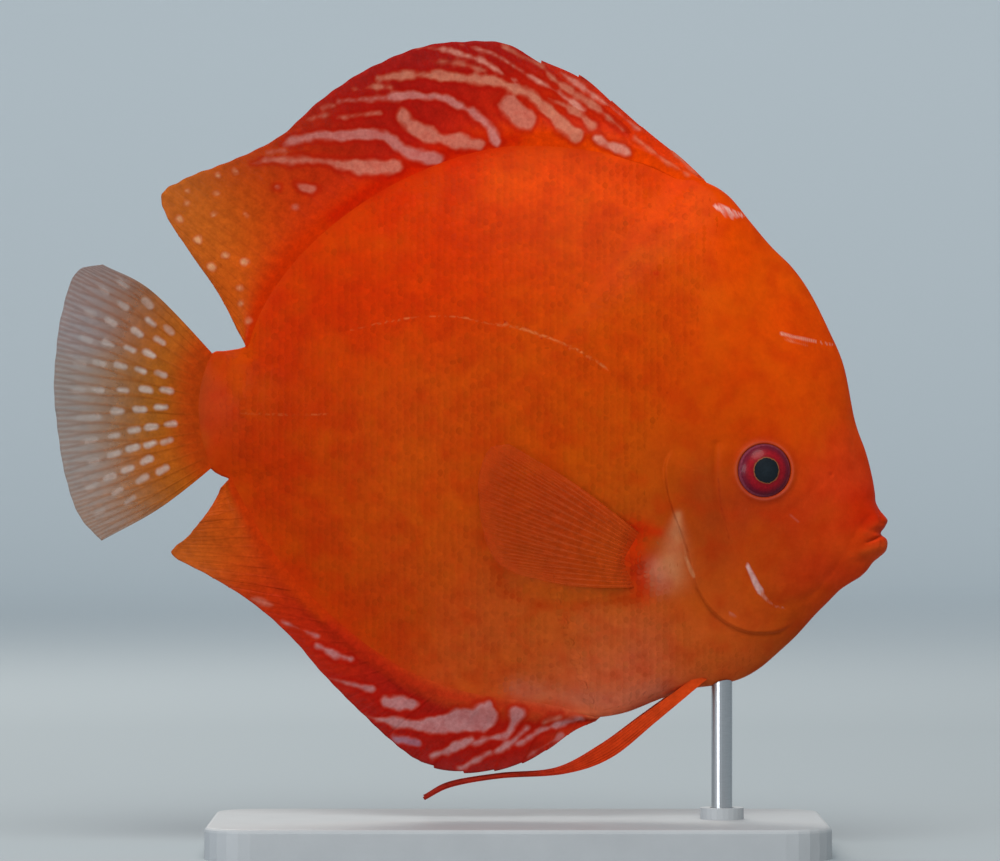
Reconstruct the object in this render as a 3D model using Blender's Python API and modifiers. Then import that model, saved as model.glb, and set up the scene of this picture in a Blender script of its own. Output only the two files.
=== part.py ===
"""A discus fish, life size, swimming level on a plain display stand.

Units are metres, +Z is up, the fish faces +X and its right flank faces -Y. The origin is on the floor, under
the middle of the whole model. Outlines are read off a side view of the fish in that view's own pixels, and
`at` turns them into metres by the fish's real length.
"""

import math

import bmesh
import bpy
import numpy as np
from mathutils import Vector

MM = 0.001

# Driving sizes of the fish
TOTAL_LENGTH = 160 * MM
GAP = 0.3 * MM
EYE_RADIUS = 5.3 * MM
EYE_DEPTH = 2.9 * MM
EYE_SUNK = 1.0 * MM
EYE_RIM_WIDTH, EYE_RIM_HEIGHT = 1.3 * MM, 0.9 * MM
GILL_PLATE = 1.3 * MM
GILL_RAISED = 0.4 * MM
LIP_RADIUS = 1.4 * MM
LIP_TAPER = (0.15, 0.7, 1.0, 0.7, 0.15)
MOUTH_WIDTH, MOUTH_OPEN = 7 * MM, 0.3 * MM
NOSTRIL_RADIUS = 0.55 * MM

# Fins: full thicknesses, and how far the roots run into the body before they are cut back
MEMBRANE = 0.5 * MM
RAY_RIDGE = 0.3 * MM
ROOT_THICKNESS = 1.3 * MM
ROOT_SUNK_PX = 13
SPINE_NOTCH = 0.09

# Display stand
BASE_LENGTH, BASE_WIDTH, BASE_HEIGHT = 118 * MM, 66 * MM, 6 * MM
BASE_MIDDLE = 9 * MM
BASE_CORNER, BASE_EDGE = 9 * MM, 0.8 * MM
ROD_RADIUS, ROD_PX = 2 * MM, 722
ROD_TOP = 36 * MM
COLLAR_RADIUS, COLLAR_HEIGHT = 4.2 * MM, 2.2 * MM
SOCKET_DEPTH = 4 * MM

# The side view's scale: the tail's edge and the lip are these pixels, and the floor is this row
TAIL_PX, LIP_PX, FLOOR_PX = 54, 888, 850
PIXEL = TOTAL_LENGTH / (LIP_PX - TAIL_PX)
MIDDLE_PX = (LIP_PX + TAIL_PX) / 2

# The body's outline, from the mouth over the back to the tail stalk and home under the belly
FOREHEAD = [
    (879, 515), (876, 503), (875, 492), (872, 475), (866, 452), (855, 420), (844, 366), (829, 330),
    (811, 294), (793, 268), (771, 246), (750, 221), (733, 200), (720, 189),
]
BACK = [
    (706, 182), (690, 175), (667, 164), (641, 151), (609, 141), (574, 136), (538, 135), (500, 138),
    (460, 147), (420, 162), (382, 181), (347, 204), (318, 228), (294, 253), (276, 277), (263, 299),
    (255, 318), (250, 333), (246, 346),
]
STALK = [(224, 350), (208, 349), (198, 376), (195, 408), (198, 440), (207, 470), (218, 474)]
BELLY = [
    (229, 479), (235, 494), (244, 512), (257, 535), (273, 561), (294, 588), (319, 614), (347, 639),
    (376, 661), (406, 679), (437, 692), (467, 701), (496, 706), (523, 709), (548, 712), (569, 714),
    (587, 716), (600, 717),
]
CHEST = [
    (627, 712), (660, 699), (690, 689), (716, 685), (740, 679), (760, 668), (781, 650), (797, 635),
    (815, 615), (827, 603), (840, 588), (852, 580), (863, 569), (872, 562), (876, 556), (878, 549),
    (879, 532),
]
DISC_CENTRE = (500, 425)
BODY_SEGMENTS, BODY_RINGS = 88, 18
RIM_ROUNDING = 20
SWELL_SHAPE, SWELL_FALL = 1.9, 1.05
ACROSS = 40 * MM

# Along the body: the column, half the width there (mm) and the row where it is widest
GIRTH = [
    (190, 2.0, 410), (215, 3.0, 410), (240, 3.9, 411), (270, 4.9, 412), (320, 6.8, 415),
    (380, 9.0, 420), (440, 11.0, 428), (500, 12.6, 437), (560, 13.6, 446), (620, 14.0, 454),
    (660, 13.9, 459), (700, 13.4, 465), (740, 12.4, 474), (770, 11.3, 480), (800, 9.9, 488),
    (820, 8.7, 494), (840, 7.3, 501), (855, 6.1, 508), (868, 5.0, 518), (880, 4.2, 528),
]
# Half the thickness (mm) of the body's rim along the same line as the outline
RIM_FOREHEAD, RIM_BACK, RIM_STALK, RIM_BELLY, RIM_CHEST = 2.8, 1.2, 1.1, 1.2, 3.2

# Where the body is parted into head, trunk and tail stalk
HEAD_REAR = [
    (700, 60), (704, 182), (690, 250), (674, 320), (667, 385), (670, 440), (674, 475), (681, 508),
    (691, 538), (699, 566), (706, 587), (718, 601), (734, 612), (752, 619), (770, 620), (790, 618),
    (806, 626), (850, 690),
]
TRUNK_REAR = [(262, 250), (243, 345), (233, 410), (227, 478), (205, 560)]
GILL_OUTLINE = [
    (668, 452), (664, 470), (666, 490), (671, 510), (678, 527), (686, 548), (691, 572), (697, 588),
    (706, 603), (719, 616), (733, 625), (748, 630), (764, 632), (779, 630), (788, 622), (784, 611),
    (770, 604), (758, 594), (747, 577), (738, 558), (731, 540), (724, 516), (718, 495), (713, 475),
    (706, 456), (695, 445), (680, 443),
]
EYE_AT = (762, 470)
NOSTRIL_AT = (829, 474)
# Each lip as the picture point and the sideways reach (mm) of its middle line, from front to corner
UPPER_LIP = [
    ((880.6, 524), 0.0), ((877.5, 525), 1.9), ((870, 529), 3.4), ((861, 536), 4.5), ((851, 545), 5.4),
]
LOWER_LIP = [
    ((880.2, 544.5), 0.0), ((877, 545), 1.8), ((870, 547), 3.2), ((862, 549), 4.2), ((852, 550.5), 5.0),
]
MOUTH_FRONT, MOUTH_CORNER = (888, 534), (857, 543)

# Fin fans: each line is one ray from its root to the fin's edge, and more rays are set evenly between them
DORSAL = [
    [(706, 182), (704, 179)], [(690, 175), (682, 158)], [(667, 164), (650, 133)], [(641, 151), (617, 105)],
    [(609, 141), (582, 76)], [(574, 136), (541, 60)], [(538, 135), (502, 42)], [(500, 138), (456, 41)],
    [(460, 147), (410, 49)], [(420, 162), (364, 70)], [(382, 181), (322, 98)], [(347, 204), (280, 135)],
    [(318, 228), (236, 158)], [(294, 253), (196, 173)], [(276, 277), (163, 190)], [(263, 299), (166, 215)],
    [(255, 318), (190, 252)], [(250, 333), (216, 289)], [(246, 346), (238, 330)],
]
ANAL = [
    [(600, 717), (596, 721)], [(587, 716), (574, 731)], [(569, 714), (549, 749)], [(548, 712), (521, 764)],
    [(523, 709), (488, 772)], [(496, 706), (452, 772)], [(467, 701), (418, 761)], [(437, 692), (386, 736)],
    [(406, 679), (354, 706)], [(376, 661), (322, 673)], [(347, 639), (290, 636)], [(319, 614), (250, 601)],
    [(294, 588), (208, 575)], [(273, 561), (171, 554)], [(257, 535), (187, 537)], [(244, 512), (203, 518)],
    [(235, 494), (214, 502)], [(229, 479), (221, 488)],
]
TAIL = [
    [(214, 351), (152, 291), (102, 264)], [(207, 362), (142, 308), (76, 272)],
    [(202, 375), (133, 338), (62, 310)], [(199, 392), (128, 370), (56, 352)],
    [(197, 410), (127, 402), (54, 396)], [(199, 428), (129, 434), (58, 440)],
    [(203, 445), (135, 465), (67, 484)], [(209, 460), (146, 492), (80, 517)],
    [(215, 471), (160, 508), (101, 541)],
]
PECTORAL = [
    [(634, 527), (570, 478), (508, 443)], [(630, 539), (561, 490), (489, 448)],
    [(627, 549), (554, 509), (479, 472)], [(625, 559), (552, 531), (479, 503)],
    [(624, 570), (553, 552), (484, 534)], [(624, 580), (559, 569), (496, 560)],
    [(626, 591), (572, 586), (520, 574)],
]
PELVIC = [
    [(699, 686), (656, 721), (611, 757), (564, 773), (500, 777.5), (452, 786), (425, 799)],
    [(687, 684), (648, 719), (606, 751), (560, 770.5), (500, 775.5), (451, 784), (424, 797.5)],
    [(675, 684), (640, 716), (600, 745), (556, 768), (500, 773.5), (450, 782), (423, 796)],
]
# Rays and rows of each fan
DORSAL_RAYS, DORSAL_SPINES, DORSAL_ROWS = 27, 8, 5
ANAL_RAYS, ANAL_SPINES, ANAL_ROWS = 25, 6, 5
TAIL_RAYS, TAIL_ROWS = 14, 7
PECTORAL_RAYS, PECTORAL_ROWS = 10, 5
PELVIC_RAYS, PELVIC_ROWS = 4, 10
PECTORAL_ROOT, PECTORAL_SUNK = 1.6 * MM, 1.6 * MM
PECTORAL_CLEAR, PECTORAL_SPREAD = 1.1 * MM, 2.9 * MM
PELVIC_ROOT, TAIL_ROOT = 1.4 * MM, 1.8 * MM
PECTORAL_SUNK_PX, TAIL_SUNK_PX = 8, 22
PELVIC_SIDE, PELVIC_TIP_SIDE = 2.6 * MM, 3.4 * MM
TAIL_WAVE, SOFT_WAVE = 0.8 * MM, 0.5 * MM


def at(points):
    """Picture points as rows of X and Z in metres."""
    p = np.asarray(points, float)
    return np.stack([(p[..., 0] - MIDDLE_PX) * PIXEL, (FLOOR_PX - p[..., 1]) * PIXEL], axis=-1)


def smooth_line(points, places):
    """The Catmull-Rom curve through the points, at places counted in points from the first one."""
    p = np.asarray(points, float)
    p = np.concatenate([[2 * p[0] - p[1]], p, [2 * p[-1] - p[-2]]])
    i = np.minimum(places.astype(int), len(points) - 2)
    t = (places - i).reshape((-1,) + (1,) * (p.ndim - 1))
    a, b, c, d = p[i], p[i + 1], p[i + 2], p[i + 3]
    return 0.5 * (2 * b + (c - a) * t + (2 * a - 5 * b + 4 * c - d) * t**2 + (3 * b - a - 3 * c + d) * t**3)


def ramp(x, low, high):
    """0 below low, 1 above high, and a smooth step between."""
    t = np.clip((x - low) / (high - low), 0, 1)
    return t * t * (3 - 2 * t)


def body_outline(count):
    """The outline and the rim's half thickness at `count` evenly spaced places, in metres."""
    loop, rims = [], []
    for points, rim in ((FOREHEAD, RIM_FOREHEAD), (BACK, RIM_BACK), (STALK, RIM_STALK), (BELLY, RIM_BELLY),
                        (CHEST, RIM_CHEST)):
        loop += points
        rims += [rim] * len(points)
    line = np.column_stack([at(loop), np.array(rims) * MM])
    line = np.vstack([line[-1:], line, line[:2]])
    fine = smooth_line(line, np.linspace(1, len(line) - 2, 4000))
    run = np.concatenate([[0], np.cumsum(np.linalg.norm(np.diff(fine[:, :2], axis=0), axis=1))])
    even = np.linspace(0, run[-1], count, endpoint=False)
    x, z, rim = (np.interp(even, run, fine[:, i]) for i in range(3))
    for _ in range(count // 24):
        rim = (np.roll(rim, 1) + 2 * rim + np.roll(rim, -1)) / 4
    return np.column_stack([x, z]), rim


def top_and_bottom(x):
    """The body's upper and lower Z over each x."""
    line, _ = body_outline(800)
    rear = np.argmin(line[:, 0])
    front = np.argmax(line[:, 0])
    upper = line[front:rear + 1] if front < rear else np.vstack([line[front:], line[:rear + 1]])
    lower = line[rear:front + 1] if rear < front else np.vstack([line[rear:], line[:front + 1]])
    upper = upper[np.argsort(upper[:, 0])]
    lower = lower[np.argsort(lower[:, 0])]
    return np.interp(x, upper[:, 0], upper[:, 1]), np.interp(x, lower[:, 0], lower[:, 1])


def half_thickness(x, z, reach, rim):
    """Half the body's thickness at x, z; reach is 0 at the disc's centre and 1 on the outline."""
    table = smooth_line(GIRTH, np.linspace(0, len(GIRTH) - 1, 300))
    station = (table[:, 0] - MIDDLE_PX) * PIXEL
    wide = np.interp(x, station, table[:, 1]) * MM
    widest = np.interp(x, station, (FLOOR_PX - table[:, 2]) * PIXEL)
    top, bottom = top_and_bottom(x)
    level = np.where(z > widest, (z - widest) / np.maximum(top - widest, MM),
                     (widest - z) / np.maximum(widest - bottom, MM))
    swell = np.maximum(1 - np.clip(level, 0, 1)**SWELL_SHAPE, 0)**SWELL_FALL
    return (wide * swell + rim * (1 - swell)) * np.sqrt(np.maximum(1 - reach**RIM_ROUNDING, 0))


def flank(x, z):
    """Half the body's thickness at x, z, its reach found from the outline."""
    line, rims = body_outline(400)
    centre = at(DISC_CENTRE)
    turn = np.arctan2(line[:, 1] - centre[1], line[:, 0] - centre[0])
    order = np.argsort(turn)
    away = np.hypot(line[:, 0] - centre[0], line[:, 1] - centre[1])[order]
    here = np.arctan2(z - centre[1], x - centre[0])
    edge = np.interp(here, turn[order], away, period=2 * math.pi)
    rim = np.interp(here, turn[order], rims[order], period=2 * math.pi)
    reach = np.hypot(x - centre[0], z - centre[1]) / edge
    return half_thickness(x, z, np.minimum(reach, 1), rim)


def skin_point(px, py, side):
    """A point of the body's surface and the direction straight out of it."""
    x, z = at((px, py))
    d = 0.5 * MM
    y = flank(x, z)
    slope_x = (flank(x + d, z) - flank(x - d, z)) / (2 * d)
    slope_z = (flank(x, z + d) - flank(x, z - d)) / (2 * d)
    out = Vector((-slope_x, side, -slope_z)).normalized()
    return Vector((x, side * y, z)), out


# Tools of the workshop
def fresh_collection(name, hidden=False):
    made = bpy.data.collections.new(name)
    bpy.context.scene.collection.children.link(made)
    made.hide_render = hidden
    return made


def move_to(obj, home):
    for old in list(obj.users_collection):
        old.objects.unlink(obj)
    home.objects.link(obj)
    if home.hide_render:
        obj.hide_render = True
        obj.display_type = "WIRE"


def shaped(name, home, add, place=None, **sizes):
    """A primitive under this name whose vertices `place` moves as one array."""
    add(**sizes)
    obj = bpy.context.object
    obj.name = name
    obj.data.name = name
    move_to(obj, home)
    if place:
        co = np.array([v.co for v in obj.data.vertices])
        obj.data.vertices.foreach_set("co", place(co).ravel())
        obj.data.update()
    return obj


def apply_all(obj):
    bpy.ops.object.select_all(action="DESELECT")
    obj.select_set(True)
    bpy.context.view_layer.objects.active = obj
    for modifier in list(obj.modifiers):
        bpy.ops.object.modifier_apply(modifier=modifier.name)


def boolean(obj, operation, tool, solver="MANIFOLD"):
    """One Boolean with an object or with everything in a collection.

    The flesh's long shallow crossings leave open slivers under the exact solver, so the manifold one
    is the rule here.
    """
    modifier = obj.modifiers.new(operation.title(), "BOOLEAN")
    modifier.operation = operation
    modifier.solver = solver
    if isinstance(tool, bpy.types.Collection):
        modifier.operand_type = "COLLECTION"
        modifier.collection = tool
    else:
        modifier.object = tool
    apply_all(obj)


def keep_largest(obj):
    """Drops crumbs that a cut left beside the piece itself."""
    bm = bmesh.new()
    bm.from_mesh(obj.data)
    unseen = set(bm.verts)
    islands = []
    while unseen:
        stack = [unseen.pop()]
        island = set(stack)
        while stack:
            for edge in stack.pop().link_edges:
                for vert in edge.verts:
                    if vert in unseen:
                        unseen.remove(vert)
                        island.add(vert)
                        stack.append(vert)
        islands.append(island)
    largest = max(islands, key=len)
    bmesh.ops.delete(bm, geom=[v for v in bm.verts if v not in largest], context="VERTS")
    bm.to_mesh(obj.data)
    bm.free()


def paint(obj, name, colour, roughness, metallic=0.0):
    material = bpy.data.materials.new(name)
    material.use_nodes = True
    shader = material.node_tree.nodes["Principled BSDF"]
    linear = [((int(colour[i:i + 2], 16) / 255 + 0.055) / 1.055)**2.4 for i in (0, 2, 4)]
    shader.inputs["Base Color"].default_value = (*linear, 1)
    shader.inputs["Roughness"].default_value = roughness
    shader.inputs["Metallic"].default_value = metallic
    obj.data.materials.clear()
    obj.data.materials.append(material)


def body(name, home, thicker=0.0, grown=0.0):
    """The whole flesh of the fish as one sphere pressed to its outline; its poles are on the flanks."""
    line, rims = body_outline(BODY_SEGMENTS)
    centre = at(DISC_CENTRE)

    def place(co):
        turn = np.round(np.arctan2(co[:, 1], co[:, 0]) / (2 * math.pi) * BODY_SEGMENTS).astype(int)
        turn %= BODY_SEGMENTS
        reach = np.hypot(co[:, 0], co[:, 1])
        flat = centre + reach[:, None] * (line[turn] - centre)
        half = half_thickness(flat[:, 0], flat[:, 1], reach, rims[turn])
        half = np.where(reach < 0.9999, np.maximum(half + thicker, 0.1 * MM), 0)
        return np.column_stack([flat[:, 0], -np.sign(co[:, 2]) * half, flat[:, 1]])

    obj = shaped(name, home, bpy.ops.mesh.primitive_uv_sphere_add, place, segments=BODY_SEGMENTS,
                 ring_count=BODY_RINGS, radius=1)
    if grown:
        normals = np.array([v.normal for v in obj.data.vertices])
        co = np.array([v.co for v in obj.data.vertices]) + grown * normals
        obj.data.vertices.foreach_set("co", co.ravel())
        obj.data.update()
    return obj


def prism(name, points, near, far):
    """A closed flat outline of picture points, either way round, standing from y near to y far."""
    line = at(points)
    area = np.sum(line[:, 0] * np.roll(line[:, 1], -1) - np.roll(line[:, 0], -1) * line[:, 1])
    if area < 0:
        line = line[::-1]
    count = len(line)

    def place(co):
        turn = np.round(np.arctan2(co[:, 0], co[:, 1]) / (2 * math.pi) * count).astype(int) % count
        y = np.where(co[:, 2] > 0, max(near, far), min(near, far))
        return np.column_stack([line[turn, 0], y, line[turn, 1]])

    return shaped(name, cutters, bpy.ops.mesh.primitive_cylinder_add, place, vertices=count, radius=1,
                  depth=2)


def widened(points, distance):
    """A closed outline moved outwards by a distance in metres."""
    p = np.asarray(points, float)
    along = np.roll(p, -1, axis=0) - np.roll(p, 1, axis=0)
    out = np.column_stack([along[:, 1], -along[:, 0]]) / np.linalg.norm(along, axis=1)[:, None]
    area = np.sum(p[:, 0] * np.roll(p[:, 1], -1) - np.roll(p[:, 0], -1) * p[:, 1])
    return p + out * np.sign(area) * distance / PIXEL


def beside_line(points, distance):
    """An open line moved to its left by a distance in metres, or to its right by a negative one."""
    p = np.asarray(points, float)
    along = np.gradient(p, axis=0)
    left = np.column_stack([along[:, 1], -along[:, 0]]) / np.linalg.norm(along, axis=1)[:, None]
    return [tuple(q) for q in p + left * distance / PIXEL]


def tube(name, home, path, radii, along_steps, round_steps):
    """A sphere drawn out along a path: its poles are the path's ends and its rings follow the radii."""
    count = along_steps + 1
    line = smooth_line(path, np.linspace(0, len(path) - 1, count))
    ahead = np.gradient(line, axis=0)
    ahead /= np.linalg.norm(ahead, axis=1)[:, None]
    side = np.cross(ahead, (0, 0, 1))
    side /= np.linalg.norm(side, axis=1)[:, None]
    up = np.cross(side, ahead)
    radius = np.interp(np.linspace(0, 1, count), np.linspace(0, 1, len(radii)), radii)

    def place(co):
        ring = np.round(np.arccos(np.clip(co[:, 2], -1, 1)) / math.pi * along_steps).astype(int)
        turn = np.arctan2(co[:, 1], co[:, 0])
        wide = np.where((ring == 0) | (ring == along_steps), 0, radius[ring])[:, None]
        return line[ring] - wide * (np.cos(turn)[:, None] * side[ring] + np.sin(turn)[:, None] * up[ring])

    return shaped(name, home, bpy.ops.mesh.primitive_uv_sphere_add, place, segments=round_steps,
                  ring_count=along_steps, radius=1)


def fan(name, lines, rays, rows, spines=0, sideways=None, root=ROOT_THICKNESS, sunk=ROOT_SUNK_PX):
    """A fin: a grid with two columns to each ray, thickened so that the rays stand up on both faces."""
    columns = 2 * rays
    lines = np.array(lines, float)
    inward = lines[:, 0] - lines[:, 1]
    inward /= np.linalg.norm(inward, axis=1)[:, None]
    lines = np.concatenate([(lines[:, 0] + sunk * inward)[:, None], lines], axis=1)
    spread = smooth_line(lines, np.linspace(0, len(lines) - 1, columns + 1))
    thickest = root + RAY_RIDGE
    weights = []

    def place(co):
        column = np.round((co[:, 0] + 0.5) * columns).astype(int)
        along = co[:, 1] + 0.5
        steps = spread.shape[1] - 1
        crest = column % 2 == 1
        spiny = column < 2 * spines
        reach = np.where(crest, 1.0, np.where(spiny, 1 - SPINE_NOTCH, 1.0))
        place_on = along**0.85 * steps * np.where(along > 0.99, reach, 1)
        point = np.array([smooth_line(spread[c], np.array([s]))[0] for c, s in zip(column, place_on)])
        flat = at(point)
        free = np.clip((place_on - 1) / (steps - 1), 0, 1)
        y = sideways(flat[:, 0], flat[:, 1], free, column / columns) if sideways else 0 * free
        thick = MEMBRANE + (root - MEMBRANE) * (1 - ramp(free, 0, 0.55))
        thick = thick + np.where(crest, RAY_RIDGE * (1 - 0.6 * free), 0)
        weights.extend(thick / thickest)
        return np.column_stack([flat[:, 0], y, flat[:, 1]])

    obj = shaped(name, parts, bpy.ops.mesh.primitive_grid_add, place, x_subdivisions=columns,
                 y_subdivisions=rows, size=1)
    group = obj.vertex_groups.new(name="thick")
    for index, weight in enumerate(weights):
        group.add([index], float(weight), "REPLACE")
    triangles = obj.modifiers.new("Triangles", "TRIANGULATE")
    triangles.quad_method = "SHORTEST_DIAGONAL"
    solid = obj.modifiers.new("Solid", "SOLIDIFY")
    solid.thickness = thickest
    solid.offset = 0
    solid.vertex_group = "thick"
    apply_all(obj)
    obj.vertex_groups.clear()
    return obj


for old in list(bpy.data.objects):
    bpy.data.objects.remove(old)
parts = fresh_collection("discus_fish")
cutters = fresh_collection("cutters", hidden=True)
SIDES = (("left", 1), ("right", -1))

# Flesh: head, trunk and tail stalk
head_region = beside_line(HEAD_REAR, GAP / 2) + [(950, 690), (950, 60)]
trunk_region = beside_line(HEAD_REAR, -GAP / 2) + [(850, 800), (205, 800)]
trunk_region += beside_line(TRUNK_REAR, GAP / 2)[::-1] + [(262, 60)]
stalk_region = beside_line(TRUNK_REAR, -GAP / 2) + [(120, 560), (120, 250)]

head = body("head", parts)
boolean(head, "INTERSECT", prism("head_region", head_region, -ACROSS, ACROSS))
trunk = body("trunk", parts)
boolean(trunk, "INTERSECT", prism("trunk_region", trunk_region, -ACROSS, ACROSS))
stalk = body("tail_stalk", parts)
boolean(stalk, "INTERSECT", prism("stalk_region", stalk_region, -ACROSS, ACROSS))

# Eyes, their rims and sockets
added = fresh_collection("head_added", hidden=True)
taken = fresh_collection("head_taken", hidden=True)
pockets = fresh_collection("gill_pockets", hidden=True)
for side_name, side in SIDES:
    skin, out = skin_point(*EYE_AT, side)
    turned = np.array(out.to_track_quat("Z", "X").to_matrix()).T
    for ball_name, home, radius, depth, middle in (
        ("eye", parts, EYE_RADIUS, EYE_DEPTH, skin - EYE_SUNK * out),
        ("socket", taken, EYE_RADIUS + GAP, EYE_DEPTH + GAP, skin - EYE_SUNK * out),
        ("eye_rim", added, EYE_RADIUS + EYE_RIM_WIDTH, 2 * EYE_RIM_HEIGHT, skin - EYE_RIM_HEIGHT * out),
    ):
        shaped(f"{ball_name}_{side_name}", home, bpy.ops.mesh.primitive_uv_sphere_add,
               lambda co: co * [radius, radius, depth] @ turned + np.array(middle), segments=20,
               ring_count=10, radius=1)
    nostril, _ = skin_point(*NOSTRIL_AT, side)
    shaped(f"nostril_{side_name}", taken, bpy.ops.mesh.primitive_uv_sphere_add,
           lambda co: co * NOSTRIL_RADIUS + np.array(nostril), segments=8, ring_count=6, radius=1)

# Lips and the mouth between them
for lip_name, lip in (("upper_lip", UPPER_LIP), ("lower_lip", LOWER_LIP)):
    half = [(*at(point), reach * MM) for point, reach in lip]
    path = [(x, -y, z) for x, z, y in half[:0:-1]] + [(x, y, z) for x, z, y in half]
    tube(lip_name, added, path, np.array(LIP_TAPER) * LIP_RADIUS, 16, 8)
corner = at(MOUTH_CORNER)
front = at(MOUTH_FRONT)


def slit(co):
    """A flat lens lying along the line of the mouth, its rear end at the corner."""
    along = 1 + co[:, 0]
    flat = corner + along[:, None] * (front - corner)
    return np.column_stack([flat[:, 0], co[:, 1] * MOUTH_WIDTH, flat[:, 1] + co[:, 2] * MOUTH_OPEN])


shaped("mouth", taken, bpy.ops.mesh.primitive_uv_sphere_add, slit, segments=16, ring_count=8, radius=1)
boolean(head, "UNION", added)

# Gill covers, set in pockets of the head and trunk
for side_name, side in SIDES:
    inner = body("under_plate", cutters, thicker=-GILL_PLATE)
    plate = body(f"gill_cover_{side_name}", parts, thicker=GILL_RAISED)
    boolean(plate, "INTERSECT", prism(f"gill_region_{side_name}", GILL_OUTLINE, side * MM, side * ACROSS))
    boolean(plate, "DIFFERENCE", inner)
    keep_largest(plate)
    floor = body("under_pocket", cutters, thicker=-GILL_PLATE - GAP)
    pocket = prism(f"pocket_{side_name}", widened(GILL_OUTLINE, GAP), side * MM, side * ACROSS)
    boolean(pocket, "DIFFERENCE", floor)
    keep_largest(pocket)
    move_to(pocket, pockets)
boolean(head, "DIFFERENCE", taken)
boolean(head, "DIFFERENCE", pockets)
boolean(trunk, "DIFFERENCE", pockets)
for node in (head, trunk, stalk):
    keep_largest(node)


# Fins
def tail_wave(x, z, free, across):
    return TAIL_WAVE * free * np.sin(across * 4 * math.pi)


def soft_wave(x, z, free, across):
    return SOFT_WAVE * free * ramp(across, 0.3, 0.8) * np.sin(across * 9 * math.pi)


fins = [
    fan("dorsal_fin", DORSAL, DORSAL_RAYS, DORSAL_ROWS, DORSAL_SPINES, soft_wave),
    fan("anal_fin", ANAL, ANAL_RAYS, ANAL_ROWS, ANAL_SPINES, soft_wave),
    fan("tail_fin", TAIL, TAIL_RAYS, TAIL_ROWS, 0, tail_wave, TAIL_ROOT, TAIL_SUNK_PX),
]
for side_name, side in SIDES:
    def beside(x, z, free, across, side=side):
        lift = PECTORAL_CLEAR * ramp(free, 0, 0.2) + PECTORAL_SPREAD * free
        return side * (flank(x, z) + np.where(free > 0, lift, -PECTORAL_SUNK))

    def below(x, z, free, across, side=side):
        return side * (PELVIC_SIDE + (PELVIC_TIP_SIDE - PELVIC_SIDE) * free)

    fins.append(fan(f"pectoral_fin_{side_name}", PECTORAL, PECTORAL_RAYS, PECTORAL_ROWS, 0, beside,
                    PECTORAL_ROOT, PECTORAL_SUNK_PX))
    fins.append(fan(f"pelvic_fin_{side_name}", PELVIC, PELVIC_RAYS, PELVIC_ROWS, 0, below, PELVIC_ROOT))
clear_of_body = body("clear_of_body", cutters, grown=GAP)
for node in fins:
    boolean(node, "DIFFERENCE", clear_of_body)
    keep_largest(node)

# Display stand
rod_x = (ROD_PX - MIDDLE_PX) * PIXEL
base_size = np.array([BASE_LENGTH, BASE_WIDTH, BASE_HEIGHT])
stand_base = shaped("stand_base", parts, bpy.ops.mesh.primitive_cube_add,
                    lambda co: co * base_size + [BASE_MIDDLE, 0, BASE_HEIGHT / 2], size=1)
bm = bmesh.new()
bm.from_mesh(stand_base.data)
upright = [e for e in bm.edges if abs(e.verts[0].co.z - e.verts[1].co.z) > BASE_HEIGHT / 2]
bmesh.ops.bevel(bm, geom=upright, offset=BASE_CORNER, segments=6, profile=0.5, affect="EDGES")
top_edges = [e for e in bm.edges if min(v.co.z for v in e.verts) > BASE_HEIGHT - MM]
bmesh.ops.bevel(bm, geom=top_edges, offset=BASE_EDGE, segments=3, profile=0.5, affect="EDGES")
bm.to_mesh(stand_base.data)
bm.free()
standing = fresh_collection("stand_added", hidden=True)
shaped("collar", standing, bpy.ops.mesh.primitive_cylinder_add,
       lambda co: co + [rod_x, 0, BASE_HEIGHT + (COLLAR_HEIGHT - MM) / 2],
       vertices=24, radius=COLLAR_RADIUS, depth=COLLAR_HEIGHT + MM)
boolean(stand_base, "UNION", standing, "EXACT")
hole_floor = BASE_HEIGHT + COLLAR_HEIGHT - SOCKET_DEPTH
hole = shaped("rod_hole", cutters, bpy.ops.mesh.primitive_cylinder_add,
              lambda co: co + [rod_x, 0, hole_floor + SOCKET_DEPTH], vertices=24,
              radius=ROD_RADIUS + GAP, depth=2 * SOCKET_DEPTH)
boolean(stand_base, "DIFFERENCE", hole, "EXACT")
rod_foot = hole_floor + GAP
rod = shaped("stand_rod", parts, bpy.ops.mesh.primitive_cylinder_add,
             lambda co: co + [rod_x, 0, (rod_foot + ROD_TOP) / 2], vertices=24, radius=ROD_RADIUS,
             depth=ROD_TOP - rod_foot)
boolean(rod, "DIFFERENCE", clear_of_body)
keep_largest(rod)

# Colours
paint(head, "head skin", "B4400F", 0.42)
paint(trunk, "flank skin", "D24A0A", 0.42)
paint(stalk, "tail stalk skin", "B84A10", 0.42)
for side_name, _ in SIDES:
    paint(bpy.data.objects[f"gill_cover_{side_name}"], f"gill cover {side_name}", "A8440A", 0.38)
    paint(bpy.data.objects[f"eye_{side_name}"], f"eye {side_name}", "A01020", 0.12)
    paint(bpy.data.objects[f"pectoral_fin_{side_name}"], f"pectoral fin {side_name}", "D8501E", 0.4)
    paint(bpy.data.objects[f"pelvic_fin_{side_name}"], f"pelvic fin {side_name}", "B0240C", 0.4)
paint(fins[0], "dorsal fin", "B0240C", 0.4)
paint(fins[1], "anal fin", "A81E0A", 0.4)
paint(fins[2], "tail fin", "A8601A", 0.4)
paint(stand_base, "stand base", "B4B9BD", 0.45)
paint(rod, "stand rod", "B8BCC0", 0.3, 1.0)
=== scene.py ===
# %% [markdown]
# # A discus fish on a display stand
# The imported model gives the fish's outline in a few plain solids. This lesson dresses it: one smooth skin
# in place of the flesh solids, a coat of overlapping scales, fins with fine branching rays, glossy eyes and
# simple finishes for the stand. Everything is in metres, with the snout towards +X and +Z up.

import math

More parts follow.
